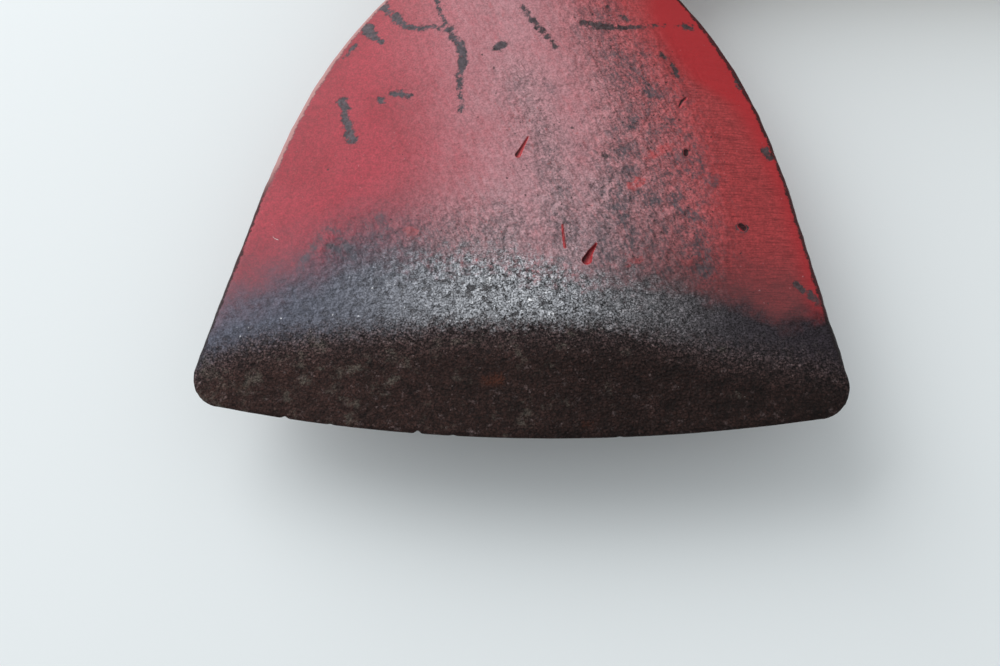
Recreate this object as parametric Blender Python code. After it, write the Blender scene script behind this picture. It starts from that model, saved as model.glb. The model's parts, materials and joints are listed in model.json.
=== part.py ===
"""Hand fire axe: a forged head with blade, eye and pick, a wooden haft, side straps, rivets and wedges.

Metres. +X runs down the haft to the butt, -Y points to the cutting edge, +Y to the pick, +Z is up.
The axe lies on its side, and the origin is the middle of the eye's lower face.
"""

import math

import bmesh
import bpy

# Fits
CLEARANCE = 0.0003
STRAP_LET_IN = 0.0002

# Blade
BIT_WIDTH = 0.1004
BIT_SAG = 0.0049
BIT_EDGE_THICKNESS = 0.0008
BIT_CORNER_RADIUS = 0.005
BEVEL_LENGTH = 0.0183
BEVEL_CORNER_LENGTH = 0.0072
BEVEL_THICKNESS = 0.0054
BLADE_LENGTH = 0.095
BLADE_FLARE = 0.232
SHOULDER_START = 0.033
SHOULDER_POWER = 2.9
SHOULDER_FILLET = 0.004
NECK_LENGTH = 0.010
NECK_HEIGHT = 0.0364
BLADE_ROOT_THICKNESS = 0.0096
BLADE_SIDE_THICKNESS = 0.0044
BLADE_CROWN_POWER = 2.4
CHEEK_FLARE_LENGTH = 0.020
SIDE_FLARE_LENGTH = 0.011

# Eye
EYE_HEIGHT = 0.042
EYE_SIDE_WALL = 0.0055
EYE_END_WALL = 0.007
EYE_EDGE_RADIUS = 0.006
EYE_EDGE_DROP = 0.0018
EYE_PAD_INSET = 0.003
EYE_CORNER_RADIUS = 0.0065

# Pick
PICK_LENGTH = 0.130
PICK_ROOT_HEIGHT = 0.024
PICK_ROOT_THICKNESS = 0.019
PICK_TIP = 0.0026
PICK_FLARE_LENGTH = 0.020
PICK_DROOP = 0.006
PICK_SIDE_SHARE = 0.45
PICK_FLAT_SHARE = 0.35

# Haft
TONGUE_WIDTH = 0.0334
CORE_THICKNESS = 0.0178
TONGUE_PROUD = 0.003
TONGUE_CHAMFER = 0.0012
SHOULDER_CHAMFER = 0.0015
HAFT_LENGTH = 0.352
HAFT_SHOULDER_WIDTH = 0.039
HAFT_WAIST_WIDTH = 0.033
HAFT_WAIST_FROM_BUTT = 0.150
HAFT_BUTT_WIDTH = 0.045
HAFT_BUTT_ROUND = 0.010
BUTT_FACE_INSET = 0.0075
BUTT_SWEEP = 0.004
HAFT_SWELL_POWER = 1.9
HAFT_SQUARENESS = 3.2
GRIP_SQUARENESS = 2.2

# Straps and rivets
STRAP_WIDTH = 0.018
STRAP_THICKNESS = 0.002
STRAP_REACH = 0.168
STRAP_LIP = 0.006
RIVET_COUNT = 4
RIVET_FIRST = 0.024
RIVET_END_MARGIN = 0.013
RIVET_SHANK_DIAMETER = 0.005
RIVET_HEAD_DIAMETER = 0.0095
RIVET_HEAD_HEIGHT = 0.0022

# Wedges
WEDGE_DEPTH = 0.030
WEDGE_INSET = 0.0015
WEDGE_TOP_THICKNESS = 0.0052
WEDGE_TIP_THICKNESS = 0.0012
STEEL_WEDGE_DEPTH = 0.020
STEEL_WEDGE_INSET = 0.0019
STEEL_WEDGE_SPACING = 0.017
STEEL_WEDGE_TOP_THICKNESS = 0.003
STEEL_WEDGE_TIP_THICKNESS = 0.0006

# Mesh fineness
ACROSS_POINTS = 15
BEVEL_STEPS = 3
LOWER_CHEEK_STEPS = 3
CHEEK_STEPS = 6
FLARE_STEPS = 8
EYE_STEPS = 4
PICK_STEPS = 6
QUARTER_POINTS = 7
STRAPPED_STEPS = 8
GRIP_STEPS = 14
BUTT_STEPS = 5
AROUND_RIVET = 14
DOME_STEPS = 4
ROUND_END_STEPS = 5
OVERCUT = 0.002
SHARP_ANGLE = math.radians(35)

# Places that follow from the sizes above
STRAP_INNER = CORE_THICKNESS / 2 + CLEARANCE
STRAP_OUTER = STRAP_INNER + STRAP_THICKNESS
TONGUE_HALF_WIDTH = TONGUE_WIDTH / 2
TONGUE_HALF_THICKNESS = STRAP_OUTER
EYE_OPENING_HALF_THICKNESS = TONGUE_HALF_THICKNESS + CLEARANCE
EYE_OPENING_HALF_WIDTH = TONGUE_HALF_WIDTH + CLEARANCE
EYE_OPENING_RADIUS = min(EYE_CORNER_RADIUS, EYE_OPENING_HALF_WIDTH - STRAP_WIDTH / 2 - CLEARANCE)
EYE_HALF_THICKNESS = EYE_OPENING_HALF_THICKNESS + EYE_SIDE_WALL
EYE_HALF_WIDTH = EYE_OPENING_HALF_WIDTH + EYE_END_WALL
EYE_HALF_HEIGHT = EYE_HEIGHT / 2
BIT_Y = -(EYE_HALF_WIDTH + BLADE_LENGTH)
SHOULDER_END = BLADE_LENGTH - NECK_LENGTH
PICK_TIP_Y = EYE_HALF_WIDTH + PICK_LENGTH
TONGUE_TOP = -(EYE_HALF_HEIGHT + TONGUE_PROUD)
HAFT_SHOULDER = EYE_HALF_HEIGHT + CLEARANCE
HAFT_END = HAFT_SHOULDER + HAFT_LENGTH
HAFT_BUTT = HAFT_END - HAFT_BUTT_ROUND
HAFT_WAIST = HAFT_BUTT - HAFT_WAIST_FROM_BUTT
STRAP_END = EYE_HALF_HEIGHT + STRAP_REACH

# Colours: base colour, roughness and metallic value
RED_PAINT = ((0.42, 0.035, 0.045, 1.0), 0.42, 0.0)
ASH_WOOD = ((0.52, 0.33, 0.17, 1.0), 0.55, 0.0)
WEDGE_WOOD = ((0.36, 0.21, 0.11, 1.0), 0.65, 0.0)
STRAP_STEEL = ((0.13, 0.12, 0.12, 1.0), 0.50, 0.9)
RIVET_STEEL = ((0.22, 0.21, 0.20, 1.0), 0.45, 0.9)
WEDGE_STEEL = ((0.20, 0.18, 0.17, 1.0), 0.50, 0.9)


def clear_scene():
    """Remove every object that the file starts with."""
    for obj in list(bpy.data.objects):
        bpy.data.objects.remove(obj, do_unlink=True)


def ease(value):
    """Smooth step from 0 to 1."""
    value = min(max(value, 0.0), 1.0)
    return value * value * (3 - 2 * value)


def mix(low, high, share):
    """Straight blend of two values."""
    return low + (high - low) * share


def smooth_maximum(first, second, radius):
    """The larger of two values, with a fillet where they cross."""
    share = max(radius - abs(first - second), 0.0) / radius
    return max(first, second) + share * share * radius / 4


def steps(low, high, count):
    """Evenly spaced values from low up to, and without, high."""
    return [mix(low, high, i / count) for i in range(count)]


def make_material(name, finish):
    """Principled material with one colour, roughness and metallic value."""
    colour, roughness, metallic = finish
    material = bpy.data.materials.new(name)
    material.use_nodes = True
    shader = material.node_tree.nodes["Principled BSDF"]
    shader.inputs["Base Color"].default_value = colour
    shader.inputs["Roughness"].default_value = roughness
    shader.inputs["Metallic"].default_value = metallic
    return material


def add_object(name, mesh_data, parent, material=None):
    """Put a bmesh into a named object under the axe's axis."""
    bmesh.ops.recalc_face_normals(mesh_data, faces=mesh_data.faces)
    mesh = bpy.data.meshes.new(name)
    mesh_data.to_mesh(mesh)
    mesh_data.free()
    obj = bpy.data.objects.new(name, mesh)
    bpy.context.scene.collection.objects.link(obj)
    obj.parent = parent
    if material is not None:
        mesh.materials.append(material)
        mesh.shade_smooth()
        mesh.set_sharp_from_angle(angle=SHARP_ANGLE)
    return obj


def add_cutter(name, mesh_data, parent):
    """Put a bmesh into a hidden object that only cuts others."""
    cutter = add_object(name, mesh_data, parent)
    cutter.hide_render = True
    cutter.display_type = "WIRE"
    return cutter


def cut(obj, cutter):
    """Take the cutter's shape out of the object."""
    modifier = obj.modifiers.new("cut_" + cutter.name, "BOOLEAN")
    modifier.operation = "DIFFERENCE"
    modifier.object = cutter


def loft(rings):
    """Closed body through rings of points, each ring with the same count, flat caps on both ends."""
    body = bmesh.new()
    loops = [[body.verts.new(point) for point in ring] for ring in rings]
    count = len(loops[0])
    for ring, following in zip(loops, loops[1:]):
        for i in range(count):
            after = (i + 1) % count
            body.faces.new((ring[i], ring[after], following[after], following[i]))
    for ring in (loops[0], loops[-1]):
        half = count // 2
        for i in range(half - 1):
            body.faces.new((ring[i], ring[i + 1], ring[count - 2 - i], ring[count - 1 - i]))
    return body


def oval(half_width, half_thickness, squareness):
    """(across, up) points of a rounded oval, whose lower half mirrors its upper half."""
    count = 4 * QUARTER_POINTS
    points = []
    for i in range(count):
        angle = 2 * math.pi * (i + 0.5) / count
        across = math.copysign(abs(math.cos(angle)) ** (2 / squareness), math.cos(angle))
        up = math.copysign(abs(math.sin(angle)) ** (2 / squareness), math.sin(angle))
        points.append((across * half_width, up * half_thickness))
    return points


def rounded_rectangle(half_width, half_thickness, radius):
    """(across, up) points of a rectangle with round corners, in the order of the oval's points."""
    points = []
    for quarter, (side, top) in enumerate(((1, 1), (-1, 1), (-1, -1), (1, -1))):
        for i in range(QUARTER_POINTS):
            angle = math.pi / 2 * (quarter + i / (QUARTER_POINTS - 1))
            across = side * (half_width - radius) + radius * math.cos(angle)
            points.append((across, top * (half_thickness - radius) + radius * math.sin(angle)))
    return points


def tapered_block(top, tip, half_sizes_top, half_sizes_tip, middle):
    """Wedge along X: (y, z) half sizes at its top and its tip, about a middle y."""
    rings = []
    for x, (half_y, half_z) in ((top, half_sizes_top), (tip, half_sizes_tip)):
        corners = ((-1, -1), (1, -1), (1, 1), (-1, 1))
        rings.append([(x, middle + side_y * half_y, side_z * half_z) for side_y, side_z in corners])
    return loft(rings)


class BitCorner:
    """Rounded corner between the cutting edge and the blade's side, as (across, distance from the bit)."""

    def __init__(self):
        rise = math.atan(2 * BIT_SAG / (BIT_WIDTH / 2))
        lean = math.atan(BLADE_FLARE)
        edge_normal = (-math.sin(rise), math.cos(rise))
        side_normal = (-math.cos(lean), -math.sin(lean))
        turn = edge_normal[0] * side_normal[1] - edge_normal[1] * side_normal[0]
        self.radius = BIT_CORNER_RADIUS
        self.centre_across = BIT_WIDTH / 2 + self.radius * (side_normal[1] - edge_normal[1]) / turn
        self.centre_along = BIT_SAG + self.radius * (edge_normal[0] - side_normal[0]) / turn
        self.edge_across = self.centre_across - self.radius * edge_normal[0]
        self.side_along = self.centre_along - self.radius * side_normal[1]
        outward = (-edge_normal[0] - side_normal[0], -edge_normal[1] - side_normal[1])
        length = math.hypot(*outward)
        self.middle_across = self.centre_across + self.radius * outward[0] / length
        self.middle_along = self.centre_along + self.radius * outward[1] / length


CORNER = BitCorner()


def bit_distance(across):
    """How far the cutting edge lies behind the middle of the bit, at a place across it."""
    across = abs(across)
    if across <= CORNER.edge_across:
        return BIT_SAG * (across / (BIT_WIDTH / 2)) ** 2
    reach = min(across - CORNER.centre_across, CORNER.radius)
    return CORNER.centre_along - math.sqrt(CORNER.radius**2 - reach**2)


def blade_half_width(along):
    """Half the blade's width at a distance from the bit."""
    if along < CORNER.side_along:
        drop = min(CORNER.centre_along - along, CORNER.radius)
        return CORNER.centre_across + math.sqrt(CORNER.radius**2 - drop**2)
    straight = BIT_WIDTH / 2 - BLADE_FLARE * (along - BIT_SAG)
    straight_end = BIT_WIDTH / 2 - BLADE_FLARE * (SHOULDER_END - BIT_SAG)
    share = max(along - SHOULDER_START, 0.0) / (SHOULDER_END - SHOULDER_START)
    return straight - (straight_end - NECK_HEIGHT / 2) * share**SHOULDER_POWER


def head_half_width(y):
    """Half the head's height along the haft, from the shoulder to the pick's tip."""
    if y < 0:
        blade = smooth_maximum(blade_half_width(y - BIT_Y), NECK_HEIGHT / 2, SHOULDER_FILLET)
        pad = -(EYE_HALF_WIDTH - EYE_PAD_INSET)
        return mix(blade, EYE_HALF_HEIGHT, ease(1 - (pad - y) / SIDE_FLARE_LENGTH))
    start = EYE_HALF_WIDTH
    taper = (y - start) / PICK_LENGTH
    pick = mix(PICK_ROOT_HEIGHT / 2, PICK_TIP / 2, max(taper, 0.0))
    return mix(EYE_HALF_HEIGHT, pick, ease((y - start) / PICK_FLARE_LENGTH))


def head_half_thickness(y):
    """Middle and side half thickness above the bevel, and how much of the eye's form they have."""
    if y < 0:
        along = y - BIT_Y
        rise = max(along - BEVEL_LENGTH, 0.0) / (BLADE_LENGTH - BEVEL_LENGTH)
        middle = mix(BEVEL_THICKNESS, BLADE_ROOT_THICKNESS, rise) / 2
        side = mix(bevel_half_thickness(1.0), BLADE_SIDE_THICKNESS / 2, rise)
        pad = -(EYE_HALF_WIDTH - EYE_PAD_INSET)
        share = ease(1 - (pad - y) / CHEEK_FLARE_LENGTH)
        side_share = ease(1 - (pad - y) / SIDE_FLARE_LENGTH)
    else:
        taper = max(y - EYE_HALF_WIDTH, 0.0) / PICK_LENGTH
        middle = mix(PICK_ROOT_THICKNESS, PICK_TIP, taper) / 2
        side = middle * PICK_SIDE_SHARE
        pad = EYE_HALF_WIDTH - EYE_PAD_INSET
        share = 1 - ease((y - pad) / (PICK_FLARE_LENGTH + EYE_PAD_INSET))
        side_share = share
    eye_side = EYE_HALF_THICKNESS - EYE_EDGE_DROP
    return mix(middle, EYE_HALF_THICKNESS, share), mix(side, eye_side, side_share), side_share


def bevel_distance(u):
    """Distance of the bevel's upper edge from the bit, at a share u across the blade."""
    corner = CORNER.middle_along + BEVEL_CORNER_LENGTH
    return mix(BEVEL_LENGTH, corner, u * u)


def bevel_half_thickness(u):
    """Half the thickness along the bevel's upper edge: the bevel has one angle all along."""
    slope = (BEVEL_THICKNESS - BIT_EDGE_THICKNESS) / 2 / BEVEL_LENGTH
    width = bevel_distance(u) - bit_distance(u * CORNER.middle_across)
    return BIT_EDGE_THICKNESS / 2 + slope * width


def head_row(points):
    """Ring of the head from its (x, y, half thickness) points: over the top and back below."""
    return points + [(x, y, -z) for x, y, z in reversed(points)]


def across_shares():
    """Shares from -1 to 1 across the head, closer together near the sides."""
    last = ACROSS_POINTS - 1
    return [math.sin(math.pi / 2 * (2 * i / last - 1)) for i in range(ACROSS_POINTS)]


def bevel_rows():
    """Rings from the cutting edge up to the bevel's upper edge."""
    rings = []
    for step in range(BEVEL_STEPS + 1):
        share = step / BEVEL_STEPS
        side = mix(CORNER.middle_along, bevel_distance(1.0), share)
        points = []
        for u in across_shares():
            along = mix(bit_distance(u * CORNER.middle_across), bevel_distance(u), share)
            thickness = mix(BIT_EDGE_THICKNESS / 2, bevel_half_thickness(u), share)
            points.append((u * blade_half_width(side), BIT_Y + along, thickness))
        rings.append(head_row(points))
    return rings


def section_row(row_middle, row_side):
    """Ring across the head, between the distances from the bit of its middle and of its sides."""
    half_width = head_half_width(BIT_Y + row_side)
    points = []
    for u in across_shares():
        y = BIT_Y + mix(row_middle, row_side, u * u)
        middle, side, eye_share = head_half_thickness(y)
        eye_flat = 1 - EYE_EDGE_RADIUS / EYE_HALF_HEIGHT
        flat = mix(PICK_FLAT_SHARE if y > 0 else 0.0, eye_flat, eye_share)
        drop = max(abs(u) - flat, 0.0) / (1 - flat)
        droop = PICK_DROOP * (max(y - EYE_HALF_WIDTH, 0.0) / PICK_LENGTH) ** 2
        thickness = middle - (middle - side) * drop**BLADE_CROWN_POWER
        points.append((u * half_width + droop, y, thickness))
    return head_row(points)


def head_rows():
    """Every ring of the head, from the cutting edge to the pick's tip."""
    rings = bevel_rows()
    for step in range(1, LOWER_CHEEK_STEPS):
        share = step / LOWER_CHEEK_STEPS
        middle = mix(BEVEL_LENGTH, SHOULDER_START, share)
        rings.append(section_row(middle, mix(bevel_distance(1.0), SHOULDER_START, share)))
    pad = EYE_HALF_WIDTH - EYE_PAD_INSET
    places = steps(BIT_Y + SHOULDER_START, -pad - CHEEK_FLARE_LENGTH, CHEEK_STEPS)
    places += steps(-pad - CHEEK_FLARE_LENGTH, -pad, FLARE_STEPS)
    places += steps(-pad, pad, EYE_STEPS)
    places += steps(pad, EYE_HALF_WIDTH + PICK_FLARE_LENGTH, FLARE_STEPS)
    places += steps(EYE_HALF_WIDTH + PICK_FLARE_LENGTH, PICK_TIP_Y, PICK_STEPS)
    places.append(PICK_TIP_Y)
    return rings + [section_row(place - BIT_Y, place - BIT_Y) for place in places]


def prism_along_x(outline, low, high):
    """Straight body along X with a (y, z) outline."""
    return loft([[(x, y, z) for y, z in outline] for x in (low, high)])


def build_head(parent):
    """Head: blade, eye and pick in one forging, with the eye's opening cut through along the haft."""
    material = make_material("red_paint", RED_PAINT)
    head = add_object("axe_head", loft(head_rows()), parent, material)
    outline = rounded_rectangle(EYE_OPENING_HALF_WIDTH, EYE_OPENING_HALF_THICKNESS, EYE_OPENING_RADIUS)
    reach = EYE_HALF_HEIGHT + OVERCUT
    cut(head, add_cutter("eye_opening", prism_along_x(outline, -reach, reach), parent))
    return head


def haft_half_width(x):
    """Half the haft's width in the head's plane: it narrows to the waist and swells to the butt."""
    if x < HAFT_WAIST:
        share = (HAFT_WAIST - x) / (HAFT_WAIST - HAFT_SHOULDER)
        return mix(HAFT_WAIST_WIDTH, HAFT_SHOULDER_WIDTH, share**HAFT_SWELL_POWER) / 2
    share = min((x - HAFT_WAIST) / HAFT_WAIST_FROM_BUTT, 1.0)
    return mix(HAFT_WAIST_WIDTH, HAFT_BUTT_WIDTH, share**HAFT_SWELL_POWER) / 2


def haft_half_thickness(x):
    """Half the haft's thickness: flush with the straps, and as thick as the eye at the butt."""
    share = min(max(x - STRAP_END, 0.0) / (HAFT_BUTT - STRAP_END), 1.0)
    return mix(STRAP_OUTER + STRAP_LET_IN, EYE_HALF_THICKNESS, share**HAFT_SWELL_POWER)


def tongue_ring(x, inset):
    """Ring of the haft's tongue, which fills the eye."""
    half_width = TONGUE_HALF_WIDTH - inset
    half_thickness = TONGUE_HALF_THICKNESS - inset
    outline = rounded_rectangle(half_width, half_thickness, EYE_OPENING_RADIUS - CLEARANCE - inset)
    return [(x, y, z) for y, z in outline]


def grip_ring(x):
    """Ring of the haft below the eye, swept towards the blade at the butt."""
    grip_share = ease((x - STRAP_END) / (HAFT_END - STRAP_END))
    squareness = mix(HAFT_SQUARENESS, GRIP_SQUARENESS, grip_share)
    turn = min(max(x - HAFT_BUTT, 0.0) / HAFT_BUTT_ROUND, 1.0)
    inset = BUTT_FACE_INSET * (1 - math.sqrt(1 - turn * turn))
    middle = -BUTT_SWEEP * grip_share**2
    outline = oval(haft_half_width(x) - inset, haft_half_thickness(x) - inset, squareness)
    return [(x, middle + y, z) for y, z in outline]


def haft_rows():
    """Every ring of the haft, from the tongue's top to the butt."""
    rings = [
        tongue_ring(TONGUE_TOP, TONGUE_CHAMFER),
        tongue_ring(TONGUE_TOP + TONGUE_CHAMFER, 0.0),
        tongue_ring(HAFT_SHOULDER, 0.0),
    ]
    places = steps(HAFT_SHOULDER + SHOULDER_CHAMFER, STRAP_END, STRAPPED_STEPS)
    places += steps(STRAP_END, HAFT_BUTT, GRIP_STEPS)
    for angle in steps(0.0, math.pi / 2, BUTT_STEPS):
        places.append(HAFT_BUTT + HAFT_BUTT_ROUND * math.sin(angle))
    places.append(HAFT_END)
    return rings + [grip_ring(place) for place in places]


def rivet_places():
    """Places of the rivets along the haft."""
    first = EYE_HALF_HEIGHT + RIVET_FIRST
    last = STRAP_END - RIVET_END_MARGIN
    return [mix(first, last, i / (RIVET_COUNT - 1)) for i in range(RIVET_COUNT)]


def rivet_hole_cutters(parent):
    """Straight holes for the rivets, through the straps and the haft."""
    cutters = []
    radius = RIVET_SHANK_DIAMETER / 2 + CLEARANCE
    reach = STRAP_OUTER + OVERCUT
    for number, place in enumerate(rivet_places(), 1):
        rings = [circle(place, z, radius) for z in (-reach, reach)]
        cutters.append(add_cutter(f"rivet_hole_{number}", loft(rings), parent))
    return cutters


def circle(x, z, radius):
    """Ring about an upright axis."""
    angles = [2 * math.pi * (i + 0.5) / AROUND_RIVET for i in range(AROUND_RIVET)]
    return [(x + radius * math.cos(angle), radius * math.sin(angle), z) for angle in angles]


def strap_plan(start, margin):
    """(x, half width) pairs along a strap from its start to its round lower end."""
    radius = STRAP_WIDTH / 2 + margin
    centre = STRAP_END - STRAP_WIDTH / 2
    plan = [(start, radius)]
    for angle in steps(0.0, math.pi / 2, ROUND_END_STEPS):
        plan.append((centre + radius * math.sin(angle), radius * math.cos(angle)))
    return plan


def strap_recess(name, side, parent):
    """Cutter for the flat seat that takes a strap on one side of the haft."""
    low = STRAP_INNER - CLEARANCE
    high = STRAP_OUTER + EYE_SIDE_WALL
    rings = []
    for x, half_width in strap_plan(TONGUE_TOP - OVERCUT, CLEARANCE):
        corners = ((-half_width, low), (half_width, low), (half_width, high), (-half_width, high))
        rings.append([(x, y, side * z) for y, z in corners])
    return add_cutter(name, loft(rings), parent)


def build_haft(parent, rivet_holes, wedge_cutters):
    """Haft: tongue through the eye, seats for the straps, kerf for the wedges and rivet holes."""
    material = make_material("ash_wood", ASH_WOOD)
    haft = add_object("haft", loft(haft_rows()), parent, material)
    cut(haft, strap_recess("upper_recess", 1, parent))
    cut(haft, strap_recess("lower_recess", -1, parent))
    for cutter in rivet_holes + wedge_cutters:
        cut(haft, cutter)
    return haft


def build_strap(name, side, parent, rivet_holes, material):
    """Strap: a lip over the eye's top, a flat through the eye and down the haft, a round end."""
    half = STRAP_WIDTH / 2
    lip_inner = -(EYE_HALF_HEIGHT + CLEARANCE)
    lip_outer = lip_inner - STRAP_THICKNESS
    lip_top = STRAP_INNER + STRAP_LIP
    sections = [
        ((lip_outer, lip_top), (lip_inner, lip_top), half),
        ((lip_outer, STRAP_INNER), (lip_inner, STRAP_OUTER), half),
    ]
    for x, half_width in strap_plan(EYE_HALF_HEIGHT, 0.0):
        sections.append(((x, STRAP_INNER), (x, STRAP_OUTER), half_width))
    rings = []
    for (inner_x, inner_z), (outer_x, outer_z), half_width in sections:
        rings.append(
            [
                (inner_x, -half_width, side * inner_z),
                (inner_x, half_width, side * inner_z),
                (outer_x, half_width, side * outer_z),
                (outer_x, -half_width, side * outer_z),
            ]
        )
    strap = add_object(name, loft(rings), parent, material)
    for cutter in rivet_holes:
        cut(strap, cutter)
    return strap


def build_rivets(parent):
    """Rivets: a shank through both straps and the haft, and a domed head on each side."""
    material = make_material("rivet_steel", RIVET_STEEL)
    seat = STRAP_OUTER + CLEARANCE
    shank = RIVET_SHANK_DIAMETER / 2
    half_profile = [(seat, shank)]
    for angle in steps(0.0, math.pi / 2, DOME_STEPS):
        height = seat + RIVET_HEAD_HEIGHT * math.sin(angle)
        half_profile.append((height, RIVET_HEAD_DIAMETER / 2 * math.cos(angle)))
    profile = [(-z, radius) for z, radius in reversed(half_profile)] + half_profile
    for number, place in enumerate(rivet_places(), 1):
        rings = [circle(place, z, radius) for z, radius in profile]
        add_object(f"strap_rivet_{number}", loft(rings), parent, material)


def wooden_wedge_body(margin, half_width):
    """Wedge in the tongue's kerf, or with a margin the kerf itself."""
    top = TONGUE_TOP - (OVERCUT if margin else 0.0)
    tip = TONGUE_TOP + WEDGE_DEPTH + margin
    half_top = WEDGE_TOP_THICKNESS / 2 + margin
    half_tip = WEDGE_TIP_THICKNESS / 2 + margin
    return tapered_block(top, tip, (half_width, half_top), (half_width, half_tip), 0.0)


def steel_wedge_body(margin, middle):
    """Steel wedge across the wooden one, or with a margin its slot."""
    top = TONGUE_TOP - (OVERCUT if margin else 0.0)
    tip = TONGUE_TOP + STEEL_WEDGE_DEPTH + margin
    half_width = CORE_THICKNESS / 2 - STEEL_WEDGE_INSET + margin
    half_top = STEEL_WEDGE_TOP_THICKNESS / 2 + margin
    half_tip = STEEL_WEDGE_TIP_THICKNESS / 2 + margin
    return tapered_block(top, tip, (half_top, half_width), (half_tip, half_width), middle)


def build_wedges(parent):
    """Wooden wedge and two steel wedges. Gives back the cutters that make room for them in the haft."""
    wood = make_material("wedge_wood", WEDGE_WOOD)
    steel = make_material("wedge_steel", WEDGE_STEEL)
    half_width = TONGUE_HALF_WIDTH - WEDGE_INSET
    wooden = add_object("wooden_wedge", wooden_wedge_body(0.0, half_width), parent, wood)
    kerf_width = TONGUE_HALF_WIDTH + OVERCUT
    cutters = [add_cutter("kerf", wooden_wedge_body(CLEARANCE, kerf_width), parent)]
    for name, side in (("front", -1), ("back", 1)):
        middle = side * STEEL_WEDGE_SPACING / 2
        add_object(f"steel_wedge_{name}", steel_wedge_body(0.0, middle), parent, steel)
        slot = add_cutter(f"{name}_slot", steel_wedge_body(CLEARANCE, middle), parent)
        cut(wooden, slot)
        cutters.append(slot)
    return cutters


def main():
    """Build the whole axe around an empty on the haft's axis."""
    clear_scene()
    axis = bpy.data.objects.new("haft_axis", None)
    axis.location = (0.0, 0.0, EYE_HALF_THICKNESS)
    bpy.context.scene.collection.objects.link(axis)
    rivet_holes = rivet_hole_cutters(axis)
    wedge_cutters = build_wedges(axis)
    build_head(axis)
    build_haft(axis, rivet_holes, wedge_cutters)
    strap_steel = make_material("strap_steel", STRAP_STEEL)
    build_strap("upper_strap", 1, axis, rivet_holes, strap_steel)
    build_strap("lower_strap", -1, axis, rivet_holes, strap_steel)
    build_rivets(axis)


main()
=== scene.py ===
"""Looks of the hand fire axe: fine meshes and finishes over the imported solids.

Metres. +X runs down the haft to the butt, -Y points to the cutting edge, +Y to the pick, +Z is up.
Shapes are worked out about the haft's axis, which lies level with the head's middle plane.
"""

import json
import logging
import math
from dataclasses import dataclass
from enum import Enum
from typing import Any, Iterable, Optional, Sequence

import bmesh
import bpy
import numpy as np
from mathutils import Matrix, Vector, noise

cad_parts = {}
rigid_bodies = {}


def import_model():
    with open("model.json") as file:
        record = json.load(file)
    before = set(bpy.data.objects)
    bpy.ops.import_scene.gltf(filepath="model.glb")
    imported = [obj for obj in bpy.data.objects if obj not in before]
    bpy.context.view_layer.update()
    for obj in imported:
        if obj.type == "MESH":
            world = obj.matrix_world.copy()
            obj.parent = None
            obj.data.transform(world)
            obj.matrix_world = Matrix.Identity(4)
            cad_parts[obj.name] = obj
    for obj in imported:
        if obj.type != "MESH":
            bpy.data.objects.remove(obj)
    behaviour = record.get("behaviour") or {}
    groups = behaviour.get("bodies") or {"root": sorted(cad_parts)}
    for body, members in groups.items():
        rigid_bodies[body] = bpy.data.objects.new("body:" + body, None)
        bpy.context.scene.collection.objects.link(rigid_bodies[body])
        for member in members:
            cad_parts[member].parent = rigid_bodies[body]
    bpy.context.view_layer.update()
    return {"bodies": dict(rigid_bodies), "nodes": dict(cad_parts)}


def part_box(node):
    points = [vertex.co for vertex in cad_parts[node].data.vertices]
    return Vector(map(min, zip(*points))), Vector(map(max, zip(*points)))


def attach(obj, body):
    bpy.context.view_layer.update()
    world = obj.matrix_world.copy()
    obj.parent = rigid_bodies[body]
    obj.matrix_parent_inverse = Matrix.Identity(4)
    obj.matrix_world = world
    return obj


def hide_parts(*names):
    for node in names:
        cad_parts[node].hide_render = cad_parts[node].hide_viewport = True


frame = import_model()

LOG = logging.getLogger("fire_axe")
MM = 0.001
BODY = "root"
AXIS_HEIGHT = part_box("axe_head")[1].z / 2
SHARP_ANGLE = math.radians(38)

Array = np.ndarray
Colour = tuple[float, float, float]
Pixel = tuple[float, float]
Material = bpy.types.Material
Mesh = bpy.types.Mesh
Node = bpy.types.Node
NodeTree = bpy.types.NodeTree
Object = bpy.types.Object
Socket = bpy.types.NodeSocket


# Small sums


def ease(value: Array) -> Array:
    """Smooth step from 0 to 1."""
    value = np.clip(value, 0.0, 1.0)
    return value * value * (3 - 2 * value)


def mix(low: Any, high: Any, share: Any) -> Any:
    """Straight blend of two values."""
    return low + (high - low) * share


def smooth_minimum(first: Array, second: Array, radius: float) -> Array:
    """The smaller of two values, rounded over where they cross."""
    share = np.maximum(radius - np.abs(first - second), 0.0) / radius
    return np.minimum(first, second) - share * share * radius / 4


def smooth_maximum(first: Array, second: Array, radius: float) -> Array:
    """The larger of two values, with a fillet where they cross."""
    return -smooth_minimum(-first, -second, radius)


def lumps(points: Array, size: float, seed: float) -> Array:
    """Smooth lumps from about -1 to 1.

    Args:
        points: places, one row each.
        size: distance between lumps.
        seed: shift that gives another pattern.

    Returns:
        One value for each place.
    """
    shift = Vector((seed, 2.7 * seed, -1.3 * seed))
    return np.array([noise.noise(Vector(point) / size + shift) for point in points])


# Meshes


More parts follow.
